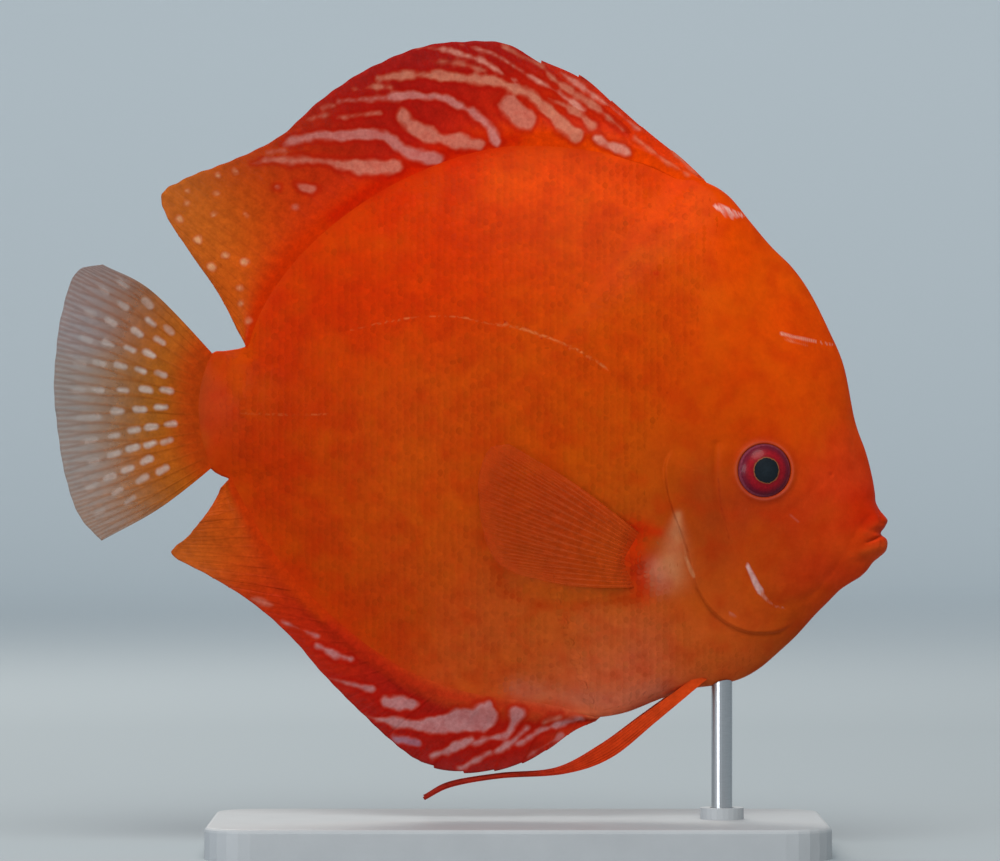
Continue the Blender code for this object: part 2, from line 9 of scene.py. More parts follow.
import bpy
import numpy as np
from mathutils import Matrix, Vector


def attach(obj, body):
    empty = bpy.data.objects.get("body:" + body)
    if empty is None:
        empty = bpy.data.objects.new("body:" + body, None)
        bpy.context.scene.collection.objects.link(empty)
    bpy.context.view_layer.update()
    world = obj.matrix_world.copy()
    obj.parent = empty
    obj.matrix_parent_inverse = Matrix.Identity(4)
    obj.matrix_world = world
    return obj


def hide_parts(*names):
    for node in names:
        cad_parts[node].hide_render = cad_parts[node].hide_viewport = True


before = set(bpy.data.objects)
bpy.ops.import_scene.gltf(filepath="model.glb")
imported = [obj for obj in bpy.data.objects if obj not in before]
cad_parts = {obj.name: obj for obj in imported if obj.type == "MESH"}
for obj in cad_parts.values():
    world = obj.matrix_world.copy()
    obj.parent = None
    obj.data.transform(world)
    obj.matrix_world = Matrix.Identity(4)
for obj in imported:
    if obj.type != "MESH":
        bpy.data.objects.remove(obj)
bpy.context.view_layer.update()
bpy.ops.object.select_all(action="DESELECT")

# %% [markdown]
# ## From the side view to metres
# The fish was measured on a side view, so outlines below are picture points. The lip and the tail's edge are
# 160 mm apart, which is all that is needed to turn a picture point into X and Z.

# %% Side view scale
MM = 0.001
TOTAL_LENGTH = 160 * MM
TAIL_PX, LIP_PX, FLOOR_PX = 54, 888, 850
PIXEL = TOTAL_LENGTH / (LIP_PX - TAIL_PX)
MIDDLE_PX = (LIP_PX + TAIL_PX) / 2


def at(points):
    """Picture points as X and Z."""
    p = np.asarray(points, float)
    return np.stack([(p[..., 0] - MIDDLE_PX) * PIXEL, (FLOOR_PX - p[..., 1]) * PIXEL], axis=-1)


def picture(x, z):
    """X and Z as picture columns and rows."""
    return x / PIXEL + MIDDLE_PX, FLOOR_PX - z / PIXEL


def smooth_line(points, places):
    """The Catmull-Rom curve through the points, at places counted in points from the first one."""
    p = np.asarray(points, float)
    p = np.concatenate([[2 * p[0] - p[1]], p, [2 * p[-1] - p[-2]]])
    i = np.minimum(places.astype(int), len(points) - 2)
    t = (places - i).reshape((-1,) + (1,) * (p.ndim - 1))
    a, b, c, d = p[i], p[i + 1], p[i + 2], p[i + 3]
    return 0.5 * (2 * b + (c - a) * t + (2 * a - 5 * b + 4 * c - d) * t**2 + (3 * b - a - 3 * c + d) * t**3)


def ramp(x, low, high):
    """0 below low, 1 above high, and a smooth step between."""
    t = np.clip((x - low) / (high - low), 0, 1)
    return t * t * (3 - 2 * t)


def near_line(points, px, py):
    """For each picture place: pixels to a smooth line, how far along it (0 to 1), and which side (+1, -1)."""
    count = 10 * len(points)
    line = smooth_line(points, np.linspace(0, len(points) - 1, count))
    best = np.full(px.shape, 1e6)
    along = np.zeros(px.shape)
    side = np.ones(px.shape)
    for i in range(count - 1):
        ax, ay = line[i]
        bx, by = line[i + 1] - line[i]
        t = np.clip(((px - ax) * bx + (py - ay) * by) / (bx * bx + by * by), 0, 1)
        dx, dy = px - ax - t * bx, py - ay - t * by
        away = np.hypot(dx, dy)
        nearer = away < best
        best = np.where(nearer, away, best)
        along = np.where(nearer, (i + t) / (count - 1), along)
        side = np.where(nearer, np.sign(bx * dy - by * dx), side)
    return best, along, side


print("one picture pixel is", round(PIXEL / MM, 3), "mm")

# %% [markdown]
# ## The form of the body
# A discus is a disc seen from the side and a slim lens from the front. Its thickness at any place follows
# from three things: the outline, the half width along the body, and the thickness of the rim. A formula is
# better than a hand-pulled mesh here, because skin, scales and fins can all ask it where the surface is.

# %% Body outline and girth
FOREHEAD = [
    (876, 502), (875, 492), (872, 475), (866, 452), (855, 420), (844, 366), (829, 330), (811, 294),
    (793, 268), (771, 246), (750, 221), (733, 200), (720, 189),
]
BACK = [
    (706, 182), (690, 175), (667, 164), (641, 151), (609, 141), (574, 136), (538, 135), (500, 138),
    (460, 147), (420, 162), (382, 181), (347, 204), (318, 228), (294, 253), (276, 277), (263, 299),
    (255, 318), (250, 333), (246, 346),
]
STALK = [(227, 350.5), (211, 353.5), (200, 378), (196, 409), (200, 440), (209, 466), (220, 475)]
BELLY = [
    (229, 479), (235, 494), (244, 512), (257, 535), (273, 561), (294, 588), (319, 614), (347, 639),
    (376, 661), (406, 679), (437, 692), (467, 701), (496, 706), (523, 709), (548, 712), (569, 714),
    (587, 716), (600, 717),
]
CHEST = [
    (627, 712), (660, 699), (690, 689), (716, 685), (740, 679), (760, 668), (781, 650), (797, 635),
    (815, 615), (827, 603), (840, 590), (851, 582.5), (860, 577), (867, 570.5), (873, 562.5),
]
LIPS = [
    (879.5, 557), (885.5, 551.5), (887.7, 545), (886.8, 539), (881, 533.5), (885, 527), (887.8, 520.5),
    (884.6, 515.5), (880, 510),
]
SNOUT = [(879, 552), (879.5, 534), (878.5, 514)]
# Half the thickness of each stretch's rim (mm), and how squarely it rounds over: 20 is soft, 300 nearly sharp
RIM_FOREHEAD, RIM_BACK, RIM_STALK, RIM_BELLY, RIM_CHEST, RIM_LIPS = 2.8, 0.9, 0.85, 0.9, 3.2, 3.4
DISC_CENTRE = (500, 425)
ROUND_FRONT, ROUND_LIPS, ROUND_FINNED, ROUND_STALK = 20, 60, 300, 200
RIM_SOFTENING = 160
SWELL_SHAPE, SWELL_FALL = 1.9, 1.05
# Where a fin is rooted, the body runs out in a hollow curve as long as FILLET. The curve fades in between the
# two roundness values, so the bare rims stay round
FILLET = 2.6 * MM
FILLET_FROM, FILLET_FULL = 215, 285
LEAST_HOLLOW, MOST_HOLLOW = 1e-4, 0.3
# Along the body: the column, half the width there (mm) and the row where it is widest
GIRTH = [
    (190, 0.8, 410), (203, 1.1, 410), (218, 2.3, 410), (240, 3.8, 411), (270, 4.9, 412), (320, 6.8, 415),
    (380, 9.0, 420), (440, 11.0, 428), (500, 12.6, 437), (560, 13.6, 446), (620, 14.0, 454),
    (660, 13.9, 459), (700, 13.4, 465), (740, 12.4, 474), (770, 11.3, 480), (800, 9.9, 488),
    (820, 8.7, 494), (840, 7.3, 501), (855, 6.1, 508), (868, 5.0, 518), (880, 4.2, 528),
]


def closed_line(front):
    """The whole outline, `front` being its foremost stretch: X, Z, the rim's half thickness and roundness."""
    loop, rims = [], []
    for points, rim, rounding in (
        (FOREHEAD, RIM_FOREHEAD, ROUND_FRONT), (BACK, RIM_BACK, ROUND_FINNED),
        (STALK, RIM_STALK, ROUND_STALK), (BELLY, RIM_BELLY, ROUND_FINNED),
        (CHEST, RIM_CHEST, ROUND_FRONT), (front, RIM_LIPS, ROUND_LIPS),
    ):
        loop += points
        rims += [(rim * MM, rounding)] * len(points)
    line = np.column_stack([at(loop), np.array(rims)])
    line = np.vstack([line[-1:], line, line[:2]])
    line = smooth_line(line, np.linspace(1, len(line) - 2, 6000))[:-1]
    spread = np.exp(-np.linspace(-2, 2, 4 * RIM_SOFTENING + 1)**2)
    for i in (2, 3):
        around = np.concatenate([line[-2 * RIM_SOFTENING:, i], line[:, i], line[:2 * RIM_SOFTENING, i]])
        line[:, i] = np.convolve(around, spread / spread.sum(), "valid")
    return line


outline = closed_line(LIPS)
disc = at(DISC_CENTRE)
turn = np.arctan2(outline[:, 1] - disc[1], outline[:, 0] - disc[0])
order = np.argsort(turn)
edge_turn = turn[order]
edge_reach = np.hypot(outline[:, 0] - disc[0], outline[:, 1] - disc[1])[order]
edge_rim, edge_round = outline[order, 2], outline[order, 3]
plain = closed_line(SNOUT)
foremost, rearmost = np.argmax(plain[:, 0]), np.argmin(plain[:, 0])
plain = np.roll(plain, -foremost, axis=0)
rearmost = (rearmost - foremost) % len(plain)
back_line = plain[:rearmost + 1][::-1]
belly_line = plain[rearmost:]
girth = smooth_line(GIRTH, np.linspace(0, len(GIRTH) - 1, 400))
girth_x = (girth[:, 0] - MIDDLE_PX) * PIXEL


def body_half(x, z):
    """Half the plain body's thickness, and the place's reach: 0 at the disc's centre, 1 on the outline."""
    here = np.arctan2(z - disc[1], x - disc[0])
    edge = np.interp(here, edge_turn, edge_reach, period=2 * math.pi)
    rim = np.interp(here, edge_turn, edge_rim, period=2 * math.pi)
    rounding = np.interp(here, edge_turn, edge_round, period=2 * math.pi)
    reach = np.minimum(np.hypot(x - disc[0], z - disc[1]) / edge, 1)
    wide = np.interp(x, girth_x, girth[:, 1]) * MM
    widest = np.interp(x, girth_x, (FLOOR_PX - girth[:, 2]) * PIXEL)
    top = np.interp(x, back_line[:, 0], back_line[:, 1])
    bottom = np.interp(x, belly_line[:, 0], belly_line[:, 1])
    tall = np.maximum(np.where(z > widest, top - widest, widest - bottom), MM)
    level = np.abs(z - widest) / tall
    swell = np.maximum(1 - np.clip(level, 0, 1)**SWELL_SHAPE, 0)**SWELL_FALL
    fillet = ramp(rounding, FILLET_FROM, FILLET_FULL) * FILLET
    hollow = np.clip(fillet * SWELL_SHAPE / tall, LEAST_HOLLOW, MOST_HOLLOW)
    swell = swell - hollow * (1 - np.exp(-swell / hollow)) * (1 - swell)
    return (wide * swell + rim * (1 - swell)) * np.sqrt(np.maximum(1 - reach**rounding, 0)), reach


print("half width at the shoulder in mm:", round(float(body_half(*at([(620, 454)])[0])[0]) / MM, 2))

# %% [markdown]
# ## The relief of the head
# On the real fish the skin folds round the mouth, steps down behind the gill cover, and stands up in a soft
# ring round the eye. Each of these is a line or a spot on the side view with a height in millimetres. Adding
# them to one height field keeps the whole head a single seamless skin.

# %% Relief lines and spots
EYE_AT, EYE_RADIUS = (762, 470), 5.15 * MM
UPPER_LIP = [(887, 521), (881, 522), (873, 526.5), (864, 534.5), (853, 545)]
LOWER_LIP = [(887, 545.5), (880, 547.5), (871, 550), (861, 553), (849, 556)]
MOUTH_LINE = [(889, 533.5), (882, 534.5), (875, 538), (868, 541), (862, 542.5)]
GILL_REAR = [
    (672, 447), (665, 459), (663, 473), (666, 492), (672, 512), (679, 530), (686, 550), (691, 573),
    (697, 589), (706, 604), (719, 617), (733, 626), (748, 631), (764, 632), (780, 630), (797, 620),
]
PREOPERCLE = [
    (714, 444), (713, 470), (715, 492), (721, 515), (729, 540), (737, 560), (748, 580), (760, 594),
    (774, 603), (790, 604), (804, 596),
]
# Each soft line: its points, half width (pixels), height at its start and at its end (mm)
FOLDS = [
    (UPPER_LIP, 4.8, 0.42, 0.0),
    (LOWER_LIP, 6.0, 0.62, 0.1),
    (MOUTH_LINE, 1.8, -1.0, 0.0),
    ([(877, 511), (868, 516), (858, 527), (849, 540), (846, 550)], 3.4, -0.12, -0.05),
    ([(879, 559.5), (869, 560), (859, 561), (849, 561.5)], 2.8, -0.18, -0.04),
    ([(845, 552), (838, 560), (829, 574), (818, 588), (806, 599)], 4.0, -0.08, -0.16),
    (PREOPERCLE, 3.6, -0.34, -0.12),
    ([(722, 452), (722, 480), (729, 508), (738, 534), (748, 557), (760, 576), (778, 590)], 7.0, 0.2, 0.15),
    ([(752, 510), (770, 514), (790, 508), (808, 492), (822, 480)], 4.0, -0.1, -0.06),
]
# Each round spot: its place, radius (pixels) and height (mm)
SPOTS = [
    ((829, 474), 4.2, 0.1), ((829, 474), 2.3, -0.3),
    ((770, 535), 34, 0.3), ((700, 560), 30, 0.25), ((650, 556), 13, -0.45), ((634, 560), 13, 0.8),
]
# The gill cover's edge: how far it slopes up, its step and its groove (pixels), its height and depth (mm)
GILL_RISE, GILL_STEP, GILL_GROOVE = 14, 1.7, 4.0
GILL_HEIGHT, GILL_DEPTH = 0.6, 0.24
# The soft ring round the eye and the pit that the eyeball sits in, in mm
EYE_RING_HEIGHT, EYE_RING_WIDTH, EYE_RING_OUT, EYE_PIT = 0.32, 0.55, 0.35, 3.0
COAT_DEPTH = 0.08 * MM


def relief(px, py):
    """Height of the folds above the plain body, in millimetres."""
    height = np.zeros(px.shape)
    for points, wide, start, end in FOLDS:
        away, along, _ = near_line(points, px, py)
        height += (start + (end - start) * along) * np.exp(-(away / wide)**2)
    for (x, y), wide, tall in SPOTS:
        height += tall * np.exp(-((px - x)**2 + (py - y)**2) / wide**2)
    away, along, side = near_line(GILL_REAR, px, py)
    ends = ramp(along, 0.0, 0.1) * (1 - ramp(along, 0.9, 1.0))
    inside = -side * away
    cover = GILL_HEIGHT * np.exp(-np.maximum(inside, 0) / GILL_RISE) * ramp(inside, -GILL_STEP, GILL_STEP)
    groove = GILL_DEPTH * np.exp(-(inside / GILL_GROOVE)**2) * (1 - ramp(inside, -GILL_STEP, GILL_STEP))
    height += ends * (cover - groove)
    out = np.hypot(px - EYE_AT[0], py - EYE_AT[1]) * PIXEL / MM
    rim = EYE_RADIUS / MM
    height += EYE_RING_HEIGHT * np.exp(-((out - rim - EYE_RING_OUT) / EYE_RING_WIDTH)**2)
    return height - EYE_PIT * (1 - ramp(out, rim - 0.7, rim))


def skin_half(x, z):
    """Half the dressed body's thickness in metres."""
    half, reach = body_half(x, z)
    fade = np.sqrt(np.maximum(1 - reach**80, 0))
    return np.maximum(half + relief(*picture(x, z)) * MM * fade - COAT_DEPTH * fade, 0), reach


def skin_frame(px, py):
    """On the skin at picture places: the height y, and the slopes of y along x and z."""
    x, z = at(np.column_stack([px, py])).T
    d = 0.25 * MM
    y = skin_half(x, z)[0]
    slope_x = (skin_half(x + d, z)[0] - skin_half(x - d, z)[0]) / (2 * d)
    slope_z = (skin_half(x, z + d)[0] - skin_half(x, z - d)[0]) / (2 * d)
    return x, y, z, slope_x, slope_z


print("folds and spots:", len(FOLDS) + len(SPOTS))

# %% [markdown]
# ## The colours of the fish
# The painter's palette: a few places, each with its colour and how far it spreads. A point of the skin takes
# its colour from the nearest ones, so the skin and every scale on it share one soft map without any picture
# file. Softer patches and clean-edged marks are then laid over it. Some of them are painted light: glints on
# the head and nape, shade in the creases, the shadow under the pectoral fin, and a lightened chin.

# %% Palette and brush
BODY_TONES = [
    ((720, 200), 45, "D83E00"), ((800, 330), 45, "D44202"), ((835, 400), 40, "C43E04"),
    ((850, 470), 30, "C43412"), ((862, 512), 16, "C01C04"), ((790, 530), 40, "BC360C"),
    ((768, 512), 26, "98300E"), ((700, 510), 35, "882A0C"), ((690, 570), 35, "AA4410"),
    # The chin's tone at (835, 570) is made lighter: painted light on the chin's underside, which the lamps
    # from above leave in shade
    ((745, 600), 35, "B2420E"), ((835, 570), 26, "D43C12"), ((870, 560), 12, "D03A12"),
    ((700, 650), 40, "C0521E"), ((620, 690), 40, "CC5E3E"), ((480, 660), 45, "B8481A"),
    ((430, 560), 60, "AE3E0A"),
    ((430, 440), 70, "AE3C06"), ((560, 400), 70, "AC3804"), ((640, 480), 50, "A84608"),
    ((640, 330), 60, "B83E02"), ((560, 240), 60, "C23800"), ((420, 260), 60, "BC2A00"),
    ((320, 320), 50, "AE2600"), ((290, 420), 50, "A42600"), ((300, 540), 50, "A82C04"),
    ((380, 640), 40, "AA2A04"), ((225, 410), 30, "A63408"), ((540, 142), 30, "C23000"),
    ((430, 165), 30, "C02000"), ((660, 170), 25, "C42A00"), ((560, 620), 60, "B44E18"),
    ((740, 300), 60, "CA4402"), ((720, 400), 55, "B03402"),
]


def linear(hexes):
    """sRGB hex colours as linear rows."""
    table = np.array([[int(h[i:i + 2], 16) for i in (0, 2, 4)] for h in np.atleast_1d(hexes)]) / 255
    return np.where(table <= 0.04045, table / 12.92, ((table + 0.055) / 1.055)**2.4)


def rgba(tone):
    """One sRGB hex colour as a linear colour for a node."""
    return (*linear(tone)[0], 1)


def palette(tones, px, py):
    """A colour for each picture place, blended from the named tones."""
    total = np.zeros((len(px), 3))
    weight = np.zeros(len(px)) + 1e-9
    for (x, y), spread, tone in tones:
        near = np.exp(-((px - x)**2 + (py - y)**2) / (1.4 * spread)**2) + 1e-6
        total += near[:, None] * linear(tone)
        weight += near
    return total / weight[:, None]


def close_to(points, px, py, room):
    """The places within `room` pixels of the box round some points."""
    low, high = np.min(points, axis=0) - room, np.max(points, axis=0) + room
    return np.nonzero((px > low[0]) & (px < high[0]) & (py > low[1]) & (py < high[1]))[0]


def to_stroke(points, px, py):
    """Pixels to a stroke, or to a single spot, and how far along it."""
    if len(points) == 1:
        return np.hypot(px - points[0][0], py - points[0][1]), 0 * px
    return near_line(points, px, py)[:2]


def brush(colour, patches, px, py):
    """Soft patches over colours: each has points, half widths at its ends (pixels), a tone and a strength."""
    for points, start, end, tone, strength in patches:
        here = close_to(points, px, py, 3 * max(start, end))
        away, along = to_stroke(points, px[here], py[here])
        cover = strength * np.exp(-(away / (start + (end - start) * along))**2)
        colour[here] += cover[:, None] * (linear(tone) - colour[here])
    return colour


# The depth of places far outside any stroke (pixels)
STREAK_FAR = -12.0


def streaks(strokes, px, py):
    """The nearest stroke's tone and strength, and how many pixels each place lies inside it."""
    depth = np.full(len(px), STREAK_FAR)
    tone = np.ones((len(px), 1)) * np.append(linear("B07050")[0], 0)
    for points, start, end, hexes, strength in strokes:
        here = close_to(points, px, py, max(start, end) - STREAK_FAR)
        away, along = to_stroke(points, px[here], py[here])
        inside = start + (end - start) * along - away
        deeper = inside > depth[here]
        depth[here[deeper]] = inside[deeper]
        tone[here[deeper]] = np.append(linear(hexes)[0], strength)
    return tone, depth


def dashes(points, count, length=0.5):
    """A row of short strokes along a smooth line."""
    line = smooth_line(points, np.linspace(0, len(points) - 1, 2 * count + 1))
    starts, halfway = line[:-1:2], line[1::2]
    return [[tuple(a), tuple(a + 2 * length * (b - a))] for a, b in zip(starts, halfway)]


LATERAL = [
    (350, 331), (362, 328), (402, 320), (434, 317), (461, 318), (488, 324), (515, 328), (541, 336),
    (565, 345), (590, 358), (608, 371),
]
# Each mark: its points, half width at its start and at its end (pixels), its tone and its strength
BODY_MARKS_AND_PAINTED_LIGHT = [(dash, 0.9, 0.9, "CC7E46", 0.5) for dash in dashes(LATERAL, 23, 0.85)]
BODY_MARKS_AND_PAINTED_LIGHT += [
    ([(240, 413), (270, 414), (300, 415), (330, 414)], 0.8, 0.6, "C4703C", 0.4),
    ([(505, 323)], 1.9, 1.9, "8E1204", 0.7), ([(525, 329)], 1.7, 1.7, "8E1204", 0.7),
    ([(541, 339)], 2.0, 2.0, "8E1204", 0.6), ([(567, 349)], 1.9, 1.9, "8E1204", 0.6),
    ([(588, 360)], 2.1, 2.1, "8E1204", 0.6), ([(608, 372)], 1.7, 1.7, "9E1A04", 0.6),
    ([(655, 274)], 3.4, 3.4, "B01A02", 0.6), ([(662, 262)], 2.0, 2.0, "B01A02", 0.5),
    ([(668, 285)], 1.8, 1.8, "B01A02", 0.5),
    # Painted highlights: the pale strokes on the nape and the forehead below stand for glints of light, not
    # marks of the skin
    ([(716, 207), (728, 211), (742, 216)], 3.6, 2.4, "DCA8A0", 0.8),
    ([(724, 216), (736, 220)], 1.6, 1.2, "CC8878", 0.6),
    ([(780, 334), (796, 338), (812, 341), (832, 345)], 2.0, 1.6, "D09480", 0.8),
    ([(784, 340), (806, 346)], 1.2, 0.8, "C87858", 0.6),
    ([(600, 141), (612, 147), (626, 153)], 3.6, 3.0, "CC8C7C", 0.8),
    ([(630, 134), (644, 144), (658, 153), (683, 168)], 2.0, 1.6, "C87C60", 0.7),
    # Painted highlights on the gill cover: a pale glint, its thin tail, and two small glints below them
    ([(745, 563), (749, 572), (754, 582), (759, 590)], 1.8, 3.6, "CFA8A4", 0.85),
    ([(759, 591), (766, 599), (774, 605), (784, 607)], 1.8, 1.2, "C88A78", 0.55),
    ([(728, 612), (734, 616)], 2.4, 2.0, "B87060", 0.5), ([(752, 622), (762, 624)], 1.4, 1.0, "B86C50", 0.5),
    ([(788, 514), (796, 521)], 1.2, 1.0, "B05C4C", 0.5), ([(744, 508)], 1.6, 1.6, "AC5230", 0.5),
    ([(684, 556), (688, 566), (692, 575)], 1.4, 1.8, "C48E62", 0.5),
    ([(674, 520), (679, 534), (684, 552)], 0.8, 1.0, "B87850", 0.3),
    # Painted shade: a dark line in the preopercle's crease
    ([(716, 478), (719, 505), (727, 537)], 1.0, 1.0, "7E200A", 0.6),
    # Painted shade: dark lines along the gill cover's rear edge and in the groove under its lower edge
    ([(664, 470), (666, 492), (672, 512), (686, 550)], 0.7, 0.7, "7C2408", 0.5),
    ([(694, 585), (706, 606), (720, 620), (748, 633), (780, 633)], 0.9, 0.9, "7E280C", 0.35),
    # Painted shade in the slit of the mouth
    ([(889, 533.5), (882, 534.5), (875, 538), (866, 541.5)], 1.0, 0.5, "6A1004", 0.8),
    # Painted shade in the nostril's pit
    ([(829, 474)], 1.2, 1.2, "7A1606", 0.4),
]
BODY_PATCHES = [
    ([(632, 532), (634, 556), (641, 590)], 14, 14, "BA1400", 0.75),
    ([(640, 529), (658, 531)], 9, 5, "B41A02", 0.7),
    ([(676, 514), (673, 540), (668, 572)], 4, 16, "B88058", 0.6),
    ([(653, 564), (662, 584)], 9, 9, "B4705E", 0.4),
    ([(886, 524), (878, 525), (866, 534)], 7, 4, "BC3A14", 0.6),
    ([(886, 545), (879, 546), (862, 552)], 6, 4, "BA461A", 0.6),
    ([(866, 508), (860, 500)], 12, 12, "B01402", 0.5),
    ([(820, 590), (790, 610), (760, 610)], 10, 14, "B4400C", 0.4),
    # Painted shadow: the dark arc is the lower edge of the pectoral fin's lobe and the shadow it casts on the
    # body, and the patch after it the lobe's paler inside
    ([(497, 566), (508, 588), (532, 601), (562, 604), (598, 601), (634, 598)], 5, 5, "A22E04", 0.5),
    ([(530, 588), (570, 593), (615, 592)], 8, 6, "B84A08", 0.4),
    ([(700, 470), (706, 520), (714, 560)], 16, 12, "92340E", 0.45),
    ([(735, 470), (742, 520)], 8, 8, "9A3010", 0.35),
    ([(500, 180), (600, 190), (680, 215)], 22, 22, "DC4400", 0.5),
    ([(250, 480), (290, 560), (350, 630)], 12, 14, "B22A02", 0.5),
    ([(520, 690), (600, 700), (660, 690)], 12, 12, "B06048", 0.6),
    ([(330, 628), (400, 676), (460, 698), (560, 713)], 10, 9, "9C180A", 0.7),
    ([(515, 139), (440, 156), (385, 182), (335, 216)], 10, 10, "AC1000", 0.7),
    ([(600, 148), (640, 158), (690, 184)], 10, 10, "E04400", 0.4),
    ([(202, 362), (197, 410), (203, 458)], 10, 10, "8A3006", 0.6),
]
# Each ring round the eye: its tone, radius and half width (mm) and strength
ORBIT = (("B06C60", 5.45, 0.22, 0.22), ("84200E", 6.2, 0.6, 0.25))


def body_colour(px, py):
    """The painted ground colour of skin and scales."""
    colour = brush(palette(BODY_TONES, px, py), BODY_PATCHES, px, py)
    out = np.hypot(px - EYE_AT[0], py - EYE_AT[1]) * PIXEL / MM
    for tone, middle, wide, strength in ORBIT:
        cover = strength * np.exp(-((out - middle) / wide)**2)
        colour += cover[:, None] * (linear(tone) - colour)
    return colour


print("tones:", len(BODY_TONES), "marks:", len(BODY_MARKS_AND_PAINTED_LIGHT))

# %% [markdown]
# ## One skin
# The skin starts as a UV sphere. Its poles go to the middle of the eyes, so its rings lie round each eye like
# the folds there. Every segment then runs from the eye to one place on the outline, and its rings are closer
# at the eye's rim, across the gill cover's edge and at the body's rim, where the form turns fastest.

# %% Skin mesh
SKIN_SEGMENTS, SKIN_RINGS = 524, 190
# Where the rings lie, in mm: from the eye's middle, from the gill cover's edge, and as shares of RIM_BAND
EYE_STEPS = np.array([
    0, 0.7, 1.6, 2.6, 3.5, 4.1, 4.45, 4.65, 4.85, 5.0, 5.15, 5.3, 5.5, 5.75, 6.05, 6.4, 6.9, 7.5, 8.2,
])
FOLD_STEPS = np.array([-1.3, -0.9, -0.6, -0.35, -0.17, 0, 0.17, 0.35, 0.6, 1.0])
RIM_STEPS = np.array([1, 0.72, 0.5, 0.33, 0.2, 0.1, 0.04, 0])
RIM_BAND = 4.6
MOUTH_AT, MOUTH_SHARE, MOUTH_REACH = (880, 537), 2.2, 45
TURN_SHARE, LENGTH_SHARE = 25 * MM, 0.4
# The line where the segments' middle rings gather: the gill cover's edge, closed round the face
GATHER = GILL_REAR[1:-1] + [
    (806, 606), (828, 580), (843, 560), (851, 540), (853, 505), (848, 455), (832, 405), (800, 372),
    (760, 358), (722, 372), (692, 402), (676, 430),
]


def primitive(name, add, **sizes):
    """A new primitive under this name, alone and selected."""
    bpy.ops.object.select_all(action="DESELECT")
    add(**sizes)
    obj = bpy.context.object
    obj.name = name
    obj.data.name = name
    return obj


def places(obj):
    """The vertices of an object as rows."""
    co = np.empty(3 * len(obj.data.vertices))
    obj.data.vertices.foreach_get("co", co)
    return co.reshape(-1, 3)


def put(obj, co):
    obj.data.vertices.foreach_set("co", np.asarray(co, float).ravel())
    obj.data.update()


def tint(obj, name, colours):
    """Stores one colour per vertex for the materials to read."""
    layer = obj.data.color_attributes.new(name, "FLOAT_COLOR", "POINT")
    rows = np.column_stack([colours, np.ones(len(colours))]) if colours.shape[1] == 3 else colours
    layer.data.foreach_set("color", rows.ravel())


def mark(obj, strokes, px, py):
    """Stores the strokes' tones and each vertex's depth inside them, from which the finish draws edges."""
    tone, depth = streaks(strokes, px, py)
    tint(obj, "streak", tone)
    layer = obj.data.attributes.new("depth", "FLOAT", "POINT")
    layer.data.foreach_set("value", depth)


eye_xz = at(EYE_AT)
outline_turn = np.unwrap(np.arctan2(outline[:, 1] - eye_xz[1], outline[:, 0] - eye_xz[0]))
step = np.roll(outline[:, :2], -1, axis=0) - outline[:, :2]
turned = np.abs(np.diff(outline_turn, append=outline_turn[0] + 2 * math.pi))
from_mouth = np.hypot(*(outline[:, :2] - at(MOUTH_AT)).T) / PIXEL
share = TURN_SHARE * turned + LENGTH_SHARE * np.hypot(*step.T)
share = share * (1 + MOUTH_SHARE * np.exp(-(from_mouth / MOUTH_REACH)**2))
run = np.concatenate([[0], np.cumsum(share)])
even = np.linspace(0, run[-1], SKIN_SEGMENTS, endpoint=False)
ends = np.column_stack([np.interp(even, run, np.append(outline[:, i], outline[0, i])) for i in (0, 1)])
reach_mm = np.hypot(*(ends - eye_xz).T) / MM
end_turn = np.arctan2(ends[:, 1] - eye_xz[1], ends[:, 0] - eye_xz[0])
gather = at(GATHER + GATHER[:3]) - eye_xz
gather = smooth_line(gather, np.linspace(0, len(gather) - 1, 600))
gather_turn = np.arctan2(gather[:, 1], gather[:, 0])
order = np.argsort(gather_turn)
fold_mm = np.interp(end_turn, gather_turn[order], np.hypot(*gather.T)[order] / MM, period=2 * math.pi)
side_rings = SKIN_RINGS // 2 + 1
inner = (side_rings - len(EYE_STEPS) - len(FOLD_STEPS) - len(RIM_STEPS)) * 4 // 10
outer = side_rings - len(EYE_STEPS) - len(FOLD_STEPS) - len(RIM_STEPS) - inner
rows = []
end_mouth = np.exp(-(np.hypot(*(ends - at(MOUTH_AT)).T) / PIXEL / MOUTH_REACH)**2)
for length, fold, mouth in zip(reach_mm, fold_mm, end_mouth):
    fold = min(fold, length - 3.5)
    band = min(RIM_BAND * (1 - 0.7 * mouth), 0.5 * (length - fold - FOLD_STEPS[-1]))
    near = np.linspace(EYE_STEPS[-1], fold + FOLD_STEPS[0], inner + 2)[1:-1]
    far = np.linspace(0, 1, outer + 2)[1:-1]**(1 + 0.6 * np.clip((length - 30) / 60, 0, 1))
    far = fold + FOLD_STEPS[-1] + far * (length - band - fold - FOLD_STEPS[-1])
    rows.append(np.concatenate([EYE_STEPS, near, fold + FOLD_STEPS, far, length - band * RIM_STEPS]))
rings_mm = np.array(rows)

